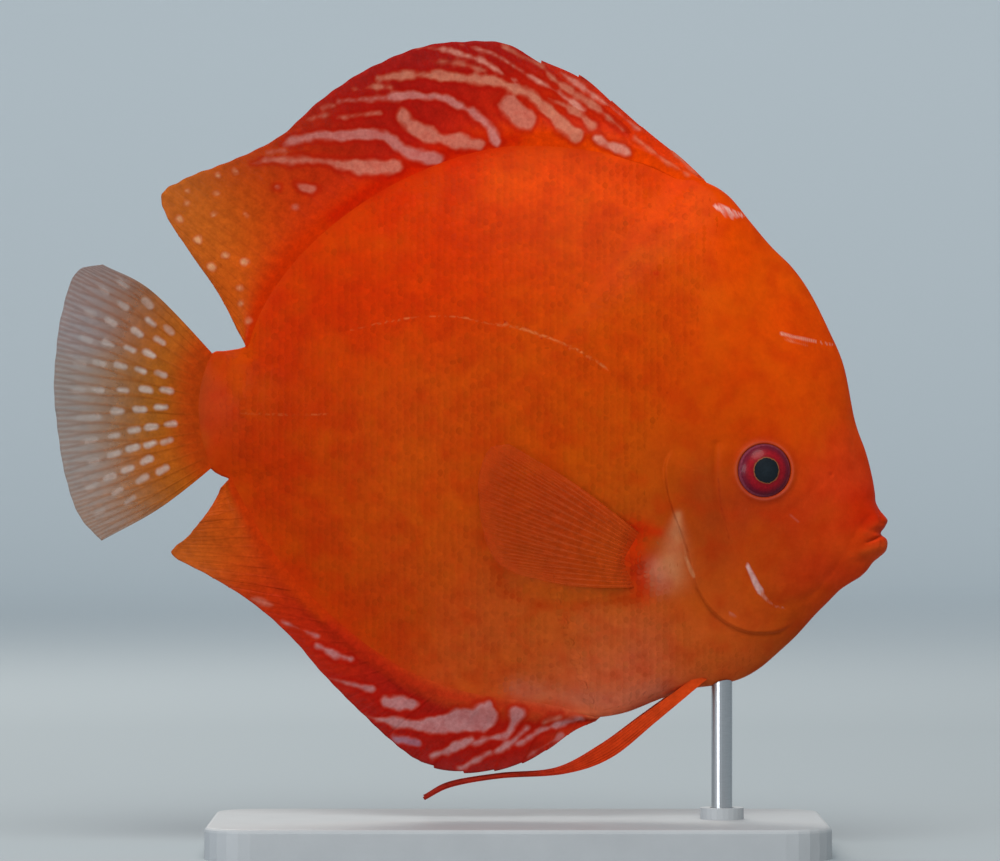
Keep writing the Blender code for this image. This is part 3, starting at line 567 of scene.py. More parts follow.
skin = primitive("skin", bpy.ops.mesh.primitive_uv_sphere_add, segments=SKIN_SEGMENTS, ring_count=SKIN_RINGS,
                 radius=1)
co = places(skin)
k = np.round(np.arctan2(co[:, 1], co[:, 0]) / (2 * math.pi) * SKIN_SEGMENTS).astype(int) % SKIN_SEGMENTS
ring = np.round(np.arccos(np.clip(co[:, 2], -1, 1)) / math.pi * SKIN_RINGS).astype(int)
ring = np.minimum(ring, SKIN_RINGS - ring)
share = (rings_mm[k, ring] / reach_mm[k])[:, None]
flat = eye_xz + share * (ends[k] - eye_xz)
half, _ = skin_half(flat[:, 0], flat[:, 1])
half = np.where(ring == SKIN_RINGS // 2, 0, half)
put(skin, np.column_stack([flat[:, 0], -np.sign(co[:, 2]) * half, flat[:, 1]]))
skin_px, skin_py = picture(flat[:, 0], flat[:, 1])
tint(skin, "tint", body_colour(skin_px, skin_py))
mark(skin, BODY_MARKS_AND_PAINTED_LIGHT, skin_px, skin_py)
bpy.ops.object.shade_smooth()
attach(skin, "root")
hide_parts("head", "trunk", "tail_stalk", "gill_cover_left", "gill_cover_right")
print("skin faces:", len(skin.data.polygons))

# %% [markdown]
# ## A coat of scales
# Discus scales are small: here about 2.2 mm long, of which 1.3 mm show. They lie in rows like roof tiles,
# with their free edges towards the tail. One scale is a thin lens of two dozen faces. It is modelled once and
# laid out over the flank, each copy turned to the skin under it, with a colour that strays from the skin's.

# %% Where the scales grow
SCALE_COLUMN = 6.6
SCALE_ROW = 1.12 * MM
# The coat ends short of the rim, and a little earlier on the tail stalk
STALK_END, BODY_REACH, STALK_REACH = 262, 0.988, 0.97
BARE_FACE = [
    (706, 176), (722, 215), (724, 260), (718, 310), (706, 360), (692, 400), (676, 430), (661, 452),
    (655, 473), (658, 494), (664, 515), (672, 535), (680, 555), (685, 577), (692, 594), (702, 611),
    (716, 625), (732, 634), (749, 639), (766, 640), (784, 638), (801, 628), (820, 612), (850, 590),
]
rng = np.random.default_rng(11)
grown = []
columns = np.arange(212, 850, SCALE_COLUMN)
for number, column in enumerate(columns):
    x = (column - MIDDLE_PX) * PIXEL
    top = np.interp(x, back_line[:, 0], back_line[:, 1])
    bottom = np.interp(x, belly_line[:, 0], belly_line[:, 1])
    middle = np.interp(x, girth_x, (FLOOR_PX - girth[:, 2]) * PIXEL)
    for end in (top, bottom):
        z = np.linspace(middle, end, 700)
        y, reach = body_half(np.full(700, x), z)
        run = np.concatenate([[0], np.cumsum(np.hypot(np.diff(z), np.diff(y)))])
        first = 0.5 * SCALE_ROW if number % 2 else (0 if end == top else SCALE_ROW)
        at_run = np.arange(first, run[-1] - 0.5 * SCALE_ROW, SCALE_ROW)
        zs = np.interp(at_run, run, z)
        keep = np.interp(at_run, run, reach) < (BODY_REACH if column > STALK_END else STALK_REACH)
        grown += [(column, FLOOR_PX - one / PIXEL) for one in zs[keep]]
grown = np.array(grown)
away, _, side = near_line(BARE_FACE, grown[:, 0], grown[:, 1])
grown = grown[side * away > 1]
edge_fade = ramp(away[side * away > 1], 1, 28)
grown += rng.normal(0, 0.4, grown.shape)
edge_fade *= 1 - ramp(body_half(*at(grown).T)[1], 0.93, 0.99)
edge_fade *= ramp(grown[:, 0], 214, 250)
print("scales on each side:", len(grown))

# %% One scale and its copies
SCALE_LENGTH, SCALE_WIDTH = 1.1 * MM, 0.8 * MM
SCALE_LIFT, SCALE_DIP, SCALE_CROWN = 0.025 * MM, -0.07 * MM, 0.01 * MM
SCALE_SINK = 0.06 * MM
EDGE_SHADE = 0.12
AROUND = 12
turns = np.arange(AROUND) * 2 * math.pi / AROUND
# A scale lies in its own plane: first to the rear, then up, then out of the skin
rim = np.column_stack([np.cos(turns), np.sin(turns)])
rim_out = (SCALE_DIP + (SCALE_LIFT - SCALE_DIP) * (rim[:, 0] + 1) / 2) / MM
one_scale = np.vstack([
    np.column_stack([rim * [SCALE_LENGTH / MM, SCALE_WIDTH / MM], rim_out]),
    [[0.1, 0, SCALE_CROWN / MM]], [[0.1, 0, SCALE_CROWN / MM - 0.14]],
]) * MM
follow = (np.arange(AROUND) + 1) % AROUND
one_faces = np.vstack([
    np.column_stack([np.full(AROUND, AROUND), np.arange(AROUND), follow]),
    np.column_stack([np.full(AROUND, AROUND + 1), follow, np.arange(AROUND)]),
])
own_y = 1.01 + rng.normal(0, 0.045, len(grown))
own_size = 1 + rng.normal(0, 0.05, (len(grown), 1, 1))
x, y, z, slope_x, slope_z = skin_frame(grown[:, 0], grown[:, 1])
outward = np.column_stack([-slope_x, np.ones(len(x)), -slope_z])
outward /= np.linalg.norm(outward, axis=1)[:, None]
rearward = np.column_stack([-np.ones(len(x)), -slope_x, np.zeros(len(x))])
rearward /= np.linalg.norm(rearward, axis=1)[:, None]
upward = np.cross(outward, rearward)
upward *= np.sign(upward[:, 2:3])
body_tint = body_colour(grown[:, 0], grown[:, 1])
shade = np.ones((len(grown), len(one_scale), 1)) * own_y[:, None, None]
shade[:, :AROUND, 0] *= 1.01 - EDGE_SHADE * ((rim[:, 0] + 1) / 2)**1.5


def unwrap(px, py):
    """A place's spot on the flank laid flat: its direction from the disc's middle, its way along the skin."""
    x, z = at(np.column_stack([px, py])).T
    steps = np.linspace(0, 1, 40)[:, None]
    xs = disc[0] + steps * (x - disc[0])
    zs = disc[1] + steps * (z - disc[1])
    ys = body_half(xs, zs)[0]
    run = np.sqrt(np.diff(xs, axis=0)**2 + np.diff(ys, axis=0)**2 + np.diff(zs, axis=0)**2).sum(axis=0)
    turn = np.arctan2(z - disc[1], x - disc[0])
    return np.column_stack([np.cos(turn), np.sin(turn)]) * run[:, None]


flat = unwrap(grown[:, 0], grown[:, 1])
flat = 0.5 + 0.47 * flat / np.abs(flat).max()
patch = 0.0015 * np.vstack([rim, [[0, 0]], [[0, 0]]])
for side_name, side in (("left", 1), ("right", -1)):
    grow = one_scale[None] * own_size
    lean = rng.normal(0, 0.02 * MM, (len(grown), 1))
    local = (grow[:, :, :1] * rearward[:, None] + grow[:, :, 1:2] * upward[:, None]
             + (grow[:, :, 2:] + (lean * (grow[:, :, 0] / SCALE_LENGTH))[..., None]) * outward[:, None])
    sunk = np.column_stack([x, y, z]) - ((1 - edge_fade) * SCALE_SINK)[:, None] * outward
    co = sunk[:, None] + local
    co[:, :, 1] *= side
    faces = one_faces if side > 0 else one_faces[:, ::-1]
    faces = (faces[None] + len(one_scale) * np.arange(len(grown))[:, None, None]).reshape(-1, 3)
    name = f"scales_{side_name}"
    mesh = bpy.data.meshes.new(name)
    mesh.from_pydata(co.reshape(-1, 3), [], faces)
    scales = bpy.data.objects.new(name, mesh)
    bpy.context.scene.collection.objects.link(scales)
    stray = 1 + rng.normal(0, 0.02, (len(grown), 1, 3))
    tint(scales, "tint", np.clip(body_tint[:, None] * shade * stray, 0, 1).reshape(-1, 3))
    mark(scales, BODY_MARKS_AND_PAINTED_LIGHT, *picture(co[:, :, 0].ravel(), co[:, :, 2].ravel()))
    uv = mesh.uv_layers.new(name="OFBake")
    corners = np.empty(len(mesh.loops), int)
    mesh.loops.foreach_get("vertex_index", corners)
    spots = (flat[:, None] + patch[None]).reshape(-1, 2)
    uv.data.foreach_set("uv", spots[corners].ravel())
    bpy.ops.object.select_all(action="DESELECT")
    scales.select_set(True)
    bpy.context.view_layer.objects.active = scales
    bpy.ops.object.shade_smooth_by_angle(angle=math.radians(35))
    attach(scales, "root")
    print(name, "triangles:", len(mesh.polygons))

# %% [markdown]
# ## Fins
# A fin is a sheet of skin stretched over rays. The rays are single and stiff at the front of the back and
# belly fins, and elsewhere each splits in two and in two again before the edge. Here a grid is bent into the
# fin, and a Solidify modifier gives it thickness from a vertex group, so the rays stand up on both faces.

# %% Fin shapes
DORSAL = [
    [(706, 182), (704, 179)], [(690, 175), (682, 158)], [(667, 164), (650, 133)], [(641, 151), (617, 105)],
    [(609, 141), (582, 76)], [(574, 136), (541, 60)], [(538, 135), (502, 42)], [(500, 138), (456, 41)],
    [(460, 147), (410, 49)], [(420, 162), (364, 70)], [(382, 181), (322, 98)], [(347, 204), (280, 135)],
    [(318, 228), (236, 158)], [(294, 253), (196, 173)], [(276, 277), (163, 190)], [(263, 299), (166, 215)],
    [(255, 318), (190, 252)], [(250, 333), (216, 289)], [(246, 346), (238, 330)],
]
ANAL = [
    [(600, 717), (596, 721)], [(587, 716), (574, 731)], [(569, 714), (549, 749)], [(548, 712), (521, 764)],
    [(523, 709), (488, 772)], [(496, 706), (452, 772)], [(467, 701), (418, 761)], [(437, 692), (386, 736)],
    [(406, 679), (354, 706)], [(376, 661), (322, 673)], [(347, 639), (290, 636)], [(319, 614), (250, 601)],
    [(294, 588), (208, 575)], [(273, 561), (171, 554)], [(257, 535), (187, 537)], [(244, 512), (203, 518)],
    [(235, 494), (214, 502)], [(229, 479), (221, 488)],
]
TAIL = [
    [(214, 355), (152, 291), (102, 264)], [(207, 362), (142, 308), (76, 272)],
    [(202, 375), (133, 338), (62, 310)], [(199, 392), (128, 370), (56, 352)],
    [(197, 410), (127, 402), (54, 396)], [(199, 428), (129, 434), (58, 440)],
    [(203, 445), (135, 465), (67, 484)], [(209, 460), (146, 492), (80, 517)],
    [(213, 467), (160, 508), (101, 541)],
]
PECTORAL = [
    [(650, 541), (576, 484), (508, 443)], [(647, 547), (567, 494), (489, 448)],
    [(645, 554), (560, 511), (479, 472)], [(644, 562), (557, 532), (479, 503)],
    [(643, 570), (558, 553), (484, 534)], [(643, 578), (564, 569), (496, 560)],
    [(644, 586), (577, 585), (520, 574)],
]
PELVIC = [
    [(699, 685), (656, 721), (611, 757), (564, 773), (500, 777.5), (452, 786), (425, 799)],
    [(693, 683), (648, 719), (606, 751), (560, 770.5), (500, 775.5), (451, 784), (424, 797.5)],
    [(687, 682), (640, 716), (600, 745), (556, 768), (500, 773.5), (450, 782), (423, 796)],
]
TAIL_WAVE, SOFT_WAVE = 0.8 * MM, 0.5 * MM
PECTORAL_CLEAR, PECTORAL_SPREAD, PECTORAL_SUNK = 0.5 * MM, 2.0 * MM, 1.2 * MM
PELVIC_SIDE, PELVIC_TIP_SIDE = 2.4 * MM, 3.4 * MM
MEMBRANE, RAY_RIDGE, RAY_STRAY = 0.2 * MM, 0.2 * MM, 0.05 * MM
# Of a ray's strip: how wide one ray is, and how far its two forks part. Then where on the fin each fork opens
RAY_WIDE, FORKS = 0.085, (0.25, 0.125)
FIRST_FORK, SECOND_FORK = (0.3, 0.75), (0.72, 1.0)
# How deep the edge dips between soft rays, as a share of the step between two of the lines' points
SOFT_NOTCH = 0.012


def branches(u, free, level):
    """How much of a ray is at u (0 to 1 across one ray's strip): it forks as `level` grows from 0 to 2."""
    first = FORKS[0] * ramp(level, 0, 1)
    second = FORKS[1] * ramp(level, 1, 2)
    crest = np.zeros(np.shape(u))
    for one in (-1, 1):
        for two in (-1, 1):
            crest = np.maximum(crest, np.exp(-((u - 0.5 - one * first - two * second) / RAY_WIDE)**2))
    return crest


def fin(name, lines, rays, strips, rows, colour, strokes, sideways, root, spines=0, spine_lines=0,
        front_root=None, sunk=13, notch=0, ridge=RAY_RIDGE):
    """A fin of branching rays, its root `sunk` pixels deep in the body and `root` thick.

    `lines` lead from root to edge. `strips` is how many columns of faces a ray has. `colour` turns picture
    places, freedom (0 at the root, 1 at the edge), ray number and crest into a tint. The first `spines` rays
    are stiff and unbranched, stand on the first `spine_lines` lines, and have the web notched behind them.
    """
    own = np.random.default_rng(len(name) * 7 + rays)
    columns = rays * strips
    lines = np.array(lines, float)
    inward = lines[:, 0] - lines[:, 1]
    inward /= np.linalg.norm(inward, axis=1)[:, None]
    lines = np.concatenate([(lines[:, 0] + sunk * inward)[:, None], lines], axis=1)
    stands = np.interp(np.arange(columns + 1) / strips, [0, spines, rays], [0, spine_lines, len(lines) - 1])
    spread = smooth_line(lines, stands)
    steps = spread.shape[1] - 1
    obj = primitive(f"{name}_rays", bpy.ops.mesh.primitive_grid_add, x_subdivisions=columns,
                    y_subdivisions=rows, size=1)
    co = places(obj)
    column = np.round((co[:, 0] + 0.5) * columns).astype(int)
    along = co[:, 1] + 0.5
    ray = column / strips
    number = np.minimum(ray.astype(int), rays - 1)
    u = ray - number
    spiny = ray < spines
    between = 0.5 + 0.5 * np.cos(2 * math.pi * u)
    uneven = own.uniform(0, 1, rays + 1)
    behind = 1 - (u - 0.5) % 1
    soft_edge = SOFT_NOTCH * (0.5 * between + np.interp(ray, np.arange(rays + 1), uneven))
    cut = np.where(spiny, notch * behind**1.5, soft_edge)
    on = 0.4 + (steps - 0.4) * along - cut * along**4
    flat = np.empty((len(co), 2))
    for c in range(columns + 1):
        rows_here = column == c
        flat[rows_here] = smooth_line(spread[c], on[rows_here])
    free = np.clip((on - 1) / (steps - 1), 0, 1)
    level = np.where(spiny, 0, ramp(free, *FIRST_FORK) + ramp(free, *SECOND_FORK))
    crest = branches(u, free, level)
    x, z = at(flat).T
    y = sideways(x, z, free, column / columns)
    y = y + own.normal(0, RAY_STRAY, rays + 1)[np.round(ray).astype(int)] * free
    at_front = (1 - ramp(column / columns, 0, 0.3)) * ((front_root or root) - root)
    thick = MEMBRANE + (root + at_front - MEMBRANE) * (1 - ramp(free, 0, 0.4))
    thick = thick + ridge * crest * np.where(spiny, 1.5, 1) * (1 - 0.6 * free) * ramp(free, 0, 0.25)
    put(obj, np.column_stack([x, y, z]))
    tint(obj, "tint", colour(flat[:, 0], flat[:, 1], free, ray, crest))
    mark(obj, strokes, flat[:, 0], flat[:, 1])
    group = obj.vertex_groups.new(name="thick")
    thickest = thick.max()
    for value in np.unique(np.round(thick / thickest, 3)):
        members = np.nonzero(np.round(thick / thickest, 3) == value)[0]
        group.add(members.tolist(), float(value), "REPLACE")
    solid = obj.modifiers.new("Solid", "SOLIDIFY")
    solid.thickness = thickest
    solid.offset = 0
    solid.vertex_group = "thick"
    bpy.ops.object.modifier_apply(modifier=solid.name)
    obj.vertex_groups.clear()
    bpy.ops.object.shade_smooth()
    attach(obj, "root")
    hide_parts(name)
    print(name, "faces:", len(obj.data.polygons))
    return obj


print("fin outlines:", [len(one) for one in (DORSAL, ANAL, TAIL, PECTORAL, PELVIC)])

# %% [markdown]
# ## Fin colours
# The back and belly fins are deep red and marbled with pale rose streaks near the edge. Towards the tail they
# turn to amber, with small pale dots on the back fin. The tail fin has rows of such dots, and is thin enough
# to let light through between its rays.

# %% Tones and streaks of the fins
ROSE, PALE, CREAM, MAUVE = "B46A58", "BA745C", "CC8E7C", "A67A7A"
# Each tone: its place, how far it spreads (pixels) and its colour
DORSAL_TONES = [
    ((560, 130), 40, "CE3004"), ((650, 140), 35, "C83006"), ((590, 95), 35, "A81A08"),
    ((500, 70), 45, "94120C"), ((420, 80), 45, "8E120E"), ((400, 130), 40, "981408"),
    ((330, 120), 40, "90140C"), ((300, 170), 40, "A02408"), ((330, 195), 35, "B02804"),
    ((250, 170), 35, "A43C0C"), ((250, 230), 35, "B04A0C"), ((185, 195), 30, "A8581C"),
    ((200, 240), 30, "A85418"), ((240, 300), 30, "AC480E"), ((275, 262), 25, "B63A04"),
    ((480, 125), 30, "B01E04"), ((690, 172), 16, "D84410"), ((302, 216), 24, "B02404"),
    ((282, 242), 18, "B42C04"),
]
DORSAL_MARKS = [
    ([(252, 164), (272, 160), (292, 161), (315, 160), (338, 164)], 2.0, 4.5, ROSE, 0.65),
    ([(338, 164), (355, 167), (376, 168), (395, 167)], 6.5, 8.5, ROSE, 0.75),
    ([(284, 144), (310, 136), (338, 135), (378, 135), (401, 148), (420, 156), (436, 158)], 3.0, 8.0,
     "AE6C64", 0.75),
    ([(404, 115), (412, 126), (430, 135), (458, 141), (478, 144)], 8.5, 7.0, ROSE, 0.75),
    ([(338, 101), (378, 98), (429, 96), (458, 104), (486, 124), (498, 141)], 3.0, 6.5, "B4746C", 0.75),
    ([(509, 106), (517, 113), (525, 119)], 11.0, 11.0, ROSE, 0.75),
    ([(378, 78), (412, 75), (446, 76), (492, 81), (526, 93), (549, 110), (566, 127), (577, 135)], 3.0, 8.0,
     PALE, 0.75),
    ([(549, 98), (572, 110), (592, 126)], 3.0, 5.5, PALE, 0.65),
    ([(401, 47), (446, 50), (481, 61), (515, 81)], 1.8, 2.6, CREAM, 0.65),
    ([(461, 44), (492, 53), (520, 70), (549, 87), (583, 110)], 2.0, 2.6, CREAM, 0.65),
    ([(503, 47), (538, 64), (560, 84), (600, 110), (623, 130)], 2.0, 3.4, PALE, 0.65),
    ([(560, 72), (584, 88), (612, 108), (640, 130)], 1.6, 2.4, CREAM, 0.55),
    ([(596, 138), (610, 145), (626, 152)], 4.0, 5.0, CREAM, 0.65),
    ([(634, 118), (663, 143), (697, 174)], 2.0, 2.4, PALE, 0.6),
    ([(636, 138), (652, 151), (668, 162), (688, 175)], 3.0, 2.4, "C8785A", 0.6),
    ([(700, 178), (682, 159), (650, 134), (617, 106), (582, 77), (541, 61)], 1.2, 1.2, "7E1C10", 0.55),
    ([(425, 60), (455, 63), (485, 71)], 1.8, 2.2, PALE, 0.5),
    ([(304, 121), (316, 117), (329, 115)], 1.8, 2.0, ROSE, 0.6),
    ([(336, 119), (358, 115), (380, 113)], 2.2, 2.8, ROSE, 0.65),
    ([(355, 90), (372, 87), (390, 87)], 1.8, 2.2, PALE, 0.6),
    ([(322, 108), (334, 105)], 1.6, 1.8, ROSE, 0.55),
    ([(268, 152), (284, 150)], 1.8, 2.0, ROSE, 0.5),
    ([(300, 186), (314, 189)], 3.8, 3.8, ROSE, 0.65),
    ([(277, 187)], 4.4, 4.4, ROSE, 0.65),
    ([(295, 207)], 4.0, 4.0, ROSE, 0.6),
    ([(262, 178)], 3.2, 3.2, ROSE, 0.5),
]
DORSAL_MARKS += [([spot], 3.9, 3.9, "CC9C74", 0.6) for spot in (
    (186, 190), (188, 203), (218, 175), (217, 193), (237, 171), (214, 215), (246, 215), (180, 219),
    (198, 240), (224, 255), (212, 266), (245, 263), (239, 288), (242, 303), (248, 322),
)]
ANAL_TONES = [
    ((230, 540), 35, "A8400A"), ((190, 556), 25, "A8541A"), ((280, 590), 40, "A82A08"),
    ((330, 620), 40, "A42008"), ((300, 650), 30, "94180C"), ((400, 690), 40, "92160C"),
    ((400, 740), 30, "80120C"), ((450, 715), 35, "90180E"), ((450, 755), 35, "7C100C"),
    ((520, 730), 35, "94180A"), ((520, 765), 25, "80120C"), ((580, 725), 25, "A02810"),
]
ANAL_MARKS = [
    ([(253, 599), (274, 605)], 2.4, 2.4, ROSE, 0.6),
    ([(283, 622), (318, 636)], 2.6, 4.0, MAUVE, 0.6),
    ([(318, 646), (350, 659)], 4.0, 4.0, MAUVE, 0.65),
    ([(329, 678), (352, 684), (370, 689)], 3.0, 3.6, MAUVE, 0.65),
    ([(386, 702), (398, 702), (411, 704)], 6.5, 7.0, MAUVE, 0.7),
    ([(364, 716), (400, 723), (430, 726)], 2.4, 7.0, MAUVE, 0.7),
    ([(430, 726), (458, 722), (484, 718)], 9.0, 15.0, MAUVE, 0.7),
    ([(484, 710), (490, 704)], 6.0, 4.0, MAUVE, 0.7),
    ([(395, 739), (407, 741), (418, 743)], 4.6, 5.0, "8C7080", 0.65),
    ([(431, 756), (450, 749), (470, 740)], 3.4, 6.6, MAUVE, 0.7),
    ([(474, 743), (490, 738), (506, 735)], 4.4, 4.0, MAUVE, 0.65),
    ([(460, 768), (476, 760), (490, 752)], 3.0, 4.0, MAUVE, 0.65),
    ([(496, 751), (512, 742), (527, 728)], 4.0, 3.6, MAUVE, 0.65),
    ([(508, 735), (514, 722), (517, 712)], 4.0, 8.0, MAUVE, 0.65),
    ([(518, 744), (537, 733), (556, 725), (581, 719)], 4.0, 3.0, MAUVE, 0.65),
    ([(545, 722), (560, 717)], 3.0, 2.4, ROSE, 0.65),
    ([(528, 756), (546, 745), (562, 735)], 2.0, 2.4, MAUVE, 0.5),
]
TAIL_TONES = [
    ((195, 400), 26, "863A08"), ((160, 400), 26, "945010"), ((130, 400), 26, "90581C"),
    ((100, 400), 26, "84603C"), ((66, 400), 26, "7A6A60"), ((170, 330), 22, "9C5014"),
    ((130, 305), 26, "86522A"), ((100, 280), 25, "745040"), ((170, 470), 22, "9C4C0E"),
    ((130, 500), 26, "945A22"), ((95, 520), 22, "8A6038"), ((205, 380), 18, "903006"),
    ((205, 440), 18, "903004"), ((80, 320), 22, "786460"), ((80, 480), 22, "7E6A5C"),
]
TAIL_SPOTS = [
    ((79, 390), 0.3), ((98, 390), 0.5), ((123, 390), 0.75), ((146, 390), 0.8), ((167, 390), 0.7),
    ((82, 417), 0.3), ((95, 417), 0.5), ((118, 411), 0.7), ((140, 409), 0.8), ((161, 407), 0.75),
    ((92, 440), 0.35), ((114, 436), 0.65), ((134, 430), 0.75), ((152, 427), 0.75), ((171, 424), 0.6),
    ((94, 461), 0.3), ((114, 454), 0.55), ((133, 448), 0.75), ((150, 444), 0.75), ((167, 441), 0.5),
    ((92, 486), 0.3), ((110, 477), 0.5), ((128, 469), 0.65), ((147, 460), 0.7), ((118, 491), 0.5),
    ((142, 479), 0.65), ((163, 470), 0.55), ((100, 512), 0.3), ((130, 500), 0.4), ((80, 363), 0.3),
    ((100, 363), 0.5), ((121, 366), 0.75), ((141, 370), 0.8), ((161, 374), 0.5), ((86, 339), 0.35),
    ((109, 344), 0.6), ((130, 349), 0.75), ((150, 354), 0.75), ((111, 322), 0.5), ((137, 332), 0.75),
    ((160, 341), 0.6), ((90, 313), 0.3), ((123, 305), 0.5), ((151, 322), 0.65), ((169, 330), 0.4),
    ((148, 303), 0.5), ((123, 284), 0.35), ((104, 290), 0.3),
]
# Each tail dot is drawn out along the ray beside it
TAIL_FOCUS, DOT_LONG, DOT_HALF = np.array((262.0, 411.0)), 4.0, 3.3
TAIL_MARKS = []
for spot, strength in TAIL_SPOTS:
    outward = (np.array(spot) - TAIL_FOCUS) / np.hypot(*(np.array(spot) - TAIL_FOCUS))
    dot = [tuple(spot - DOT_LONG * outward), tuple(spot + DOT_LONG * outward)]
    TAIL_MARKS.append((dot, DOT_HALF, DOT_HALF, "B0A49C", strength))
PECTORAL_TONES = [
    ((634, 560), 12, "B41804"), ((610, 550), 22, "BE460E"), ((560, 520), 40, "BA3C10"),
    ((495, 490), 40, "B4320C"),
]
PELVIC_TONES = [
    ((690, 690), 20, "BA3C10"), ((650, 722), 30, "B83A14"), ((600, 757), 40, "B0300E"),
    ((520, 776), 40, "A02818"), ((440, 790), 30, "902218"),
]


def fin_colour(tones, ray_tone, ray_strength, clear_from, clear_most, rooted=0.0, ray_clear=0.45):
    """The tint of a fin; its fourth value falls to 1 - clear_most beyond clear_from where no ray stands.

    At the root, `rooted` is the share of the body's colour; along the rays, `ray_strength` that of ray_tone.
    """
    def colour(px, py, free, ray, crest):
        tinted = palette(tones, px, py)
        tinted += ((1 - ramp(free, 0, 0.3)) * rooted)[:, None] * (body_colour(px, py) - tinted)
        on_ray = ray_strength * crest * ramp(free, -0.1, 0.3) * (1 - 0.55 * free)
        tinted += on_ray[:, None] * (linear(ray_tone) - tinted)
        clear = clear_most * ramp(free, clear_from, 1.0) * (1 - ray_clear * crest)
        return np.column_stack([tinted, 1 - clear])
    return colour


def tail_wave(x, z, free, across):
    return TAIL_WAVE * free * np.sin(across * 4 * math.pi)


def soft_wave(x, z, free, across):
    return SOFT_WAVE * free * ramp(across, 0.3, 0.8) * np.sin(across * 9 * math.pi)


print("streaks:", len(DORSAL_MARKS) + len(ANAL_MARKS) + len(TAIL_MARKS))

# %% Fin sheets
DORSAL_COLOUR = fin_colour(DORSAL_TONES, "7A1006", 0.16, 0.55, 0.12, 1.0)
ANAL_COLOUR = fin_colour(ANAL_TONES, "7A1006", 0.16, 0.55, 0.12, 0.9)
TAIL_COLOUR = fin_colour(TAIL_TONES, "7E3A0C", 0.5, 0.15, 0.6, 0.9, 0.3)
PECTORAL_COLOUR = fin_colour(PECTORAL_TONES, "C66A40", 0.36, -0.5, 0.86, 0.6, 0.2)
PELVIC_COLOUR = fin_colour(PELVIC_TONES, "7E1808", 0.4, 0.6, 0.1)
MARBLED_RIDGE, PECTORAL_RIDGE = 0.14 * MM, 0.04 * MM
fins = [
    fin("dorsal_fin", DORSAL, 34, 16, 56, DORSAL_COLOUR, DORSAL_MARKS, soft_wave, spines=6, spine_lines=5.5,
        root=2.0 * MM, front_root=2.6 * MM, sunk=26, notch=0.05, ridge=MARBLED_RIDGE),
    fin("anal_fin", ANAL, 34, 16, 54, ANAL_COLOUR, ANAL_MARKS, soft_wave, spines=7, spine_lines=6,
        root=2.0 * MM, sunk=26, notch=0.03, ridge=MARBLED_RIDGE),
    fin("tail_fin", TAIL, 16, 16, 70, TAIL_COLOUR, TAIL_MARKS, tail_wave, root=1.6 * MM, sunk=22),
]
PECTORAL_RISE = 0.2
for side_name, side in (("left", 1), ("right", -1)):
    def beside(x, z, free, across, side=side):
        lift = PECTORAL_CLEAR * ramp(free, 0, 0.35) + PECTORAL_SPREAD * free
        risen = ramp(free, 0, PECTORAL_RISE)
        return side * (body_half(x, z)[0] + risen * lift - (1 - risen) * PECTORAL_SUNK)

    def below(x, z, free, across, side=side):
        return side * (PELVIC_SIDE + (PELVIC_TIP_SIDE - PELVIC_SIDE) * free)

    fins.append(fin(f"pectoral_fin_{side_name}", PECTORAL, 17, 12, 60, PECTORAL_COLOUR, [], beside,
                    root=0.5 * MM, sunk=8, ridge=PECTORAL_RIDGE))
    fins.append(fin(f"pelvic_fin_{side_name}", PELVIC, 6, 10, 90, PELVIC_COLOUR, [], below, root=1.0 * MM))

# %% [markdown]
# ## Eyes
# The eye of a red discus is a dark pupil in a crimson ring, with a thread of gold between them and a duller
# border. A fine sphere, flattened and turned to the skin, carries each place's distance from its own axis,
# and the material paints the rings from that.

# %% Eyeballs
EYE_DEPTH, EYE_SUNK, EYE_BALL = 2.9 * MM, 1.0 * MM, 5.3 * MM
eyes = []
for side_name, side in (("left", 1), ("right", -1)):
    x, z = at(EYE_AT)
    d = 0.5 * MM
    y = float(body_half(x, z)[0])
    out = Vector((-float(body_half(x + d, z)[0] - body_half(x - d, z)[0]) / (2 * d), side,
                  -float(body_half(x, z + d)[0] - body_half(x, z - d)[0]) / (2 * d))).normalized()
    eye = primitive(f"eyeball_{side_name}", bpy.ops.mesh.primitive_uv_sphere_add, segments=96, ring_count=64,
                    radius=1)
    ball = places(eye)
    bowl = np.column_stack([ball[:, :2] * EYE_BALL, ball[:, 2] * EYE_DEPTH])
    turned = np.array(out.to_track_quat("Z", "X").to_matrix())
    put(eye, bowl @ turned.T + np.array([x, side * y, z]) - EYE_SUNK * np.array(out))
    axis = eye.data.attributes.new("axis_mm", "FLOAT", "POINT")
    axis.data.foreach_set("value", np.hypot(bowl[:, 0], bowl[:, 1]) / MM)
    bpy.ops.object.shade_smooth()
    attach(eye, "root")
    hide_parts(f"eye_{side_name}")
    eyes.append(eye)
print("eyes:", [len(eye.data.polygons) for eye in eyes])

# %% [markdown]
# ## Finishes
# Fish skin is a satin surface under a thin clear slime coat. The painted tints and the stored streaks carry
# the markings, and on the skin also painted light and shade: glints, dark creases, a fin's shadow and a
# lightened chin. Noise breaks them up: a mottling of 3 mm and 0.8 mm, wider amber and red flecks, and a grain
# finer than a scale for the gloss to catch on. All sizes are in millimetres of the real fish.

# %% Node and pattern helpers
def add(tree, kind, inputs=(), **options):
    """Adds a node, sets its options, and links or sets its inputs by name or number."""
    made = tree.nodes.new(kind)
    for key, value in options.items():
        setattr(made, key, value)
    for key, value in dict(inputs).items():
        if isinstance(value, bpy.types.NodeSocket):
            tree.links.new(value, made.inputs[key])
        else:
            made.inputs[key].default_value = value
    return made


def finish(name, sockets):
    """A new material with one Principled shader, its constant sockets set."""
    made = bpy.data.materials.new(name)
    made.use_nodes = True
    tree = made.node_tree
    shader = tree.nodes["Principled BSDF"]
    for key, value in sockets.items():
        shader.inputs[key].default_value = value
    return made, tree, shader


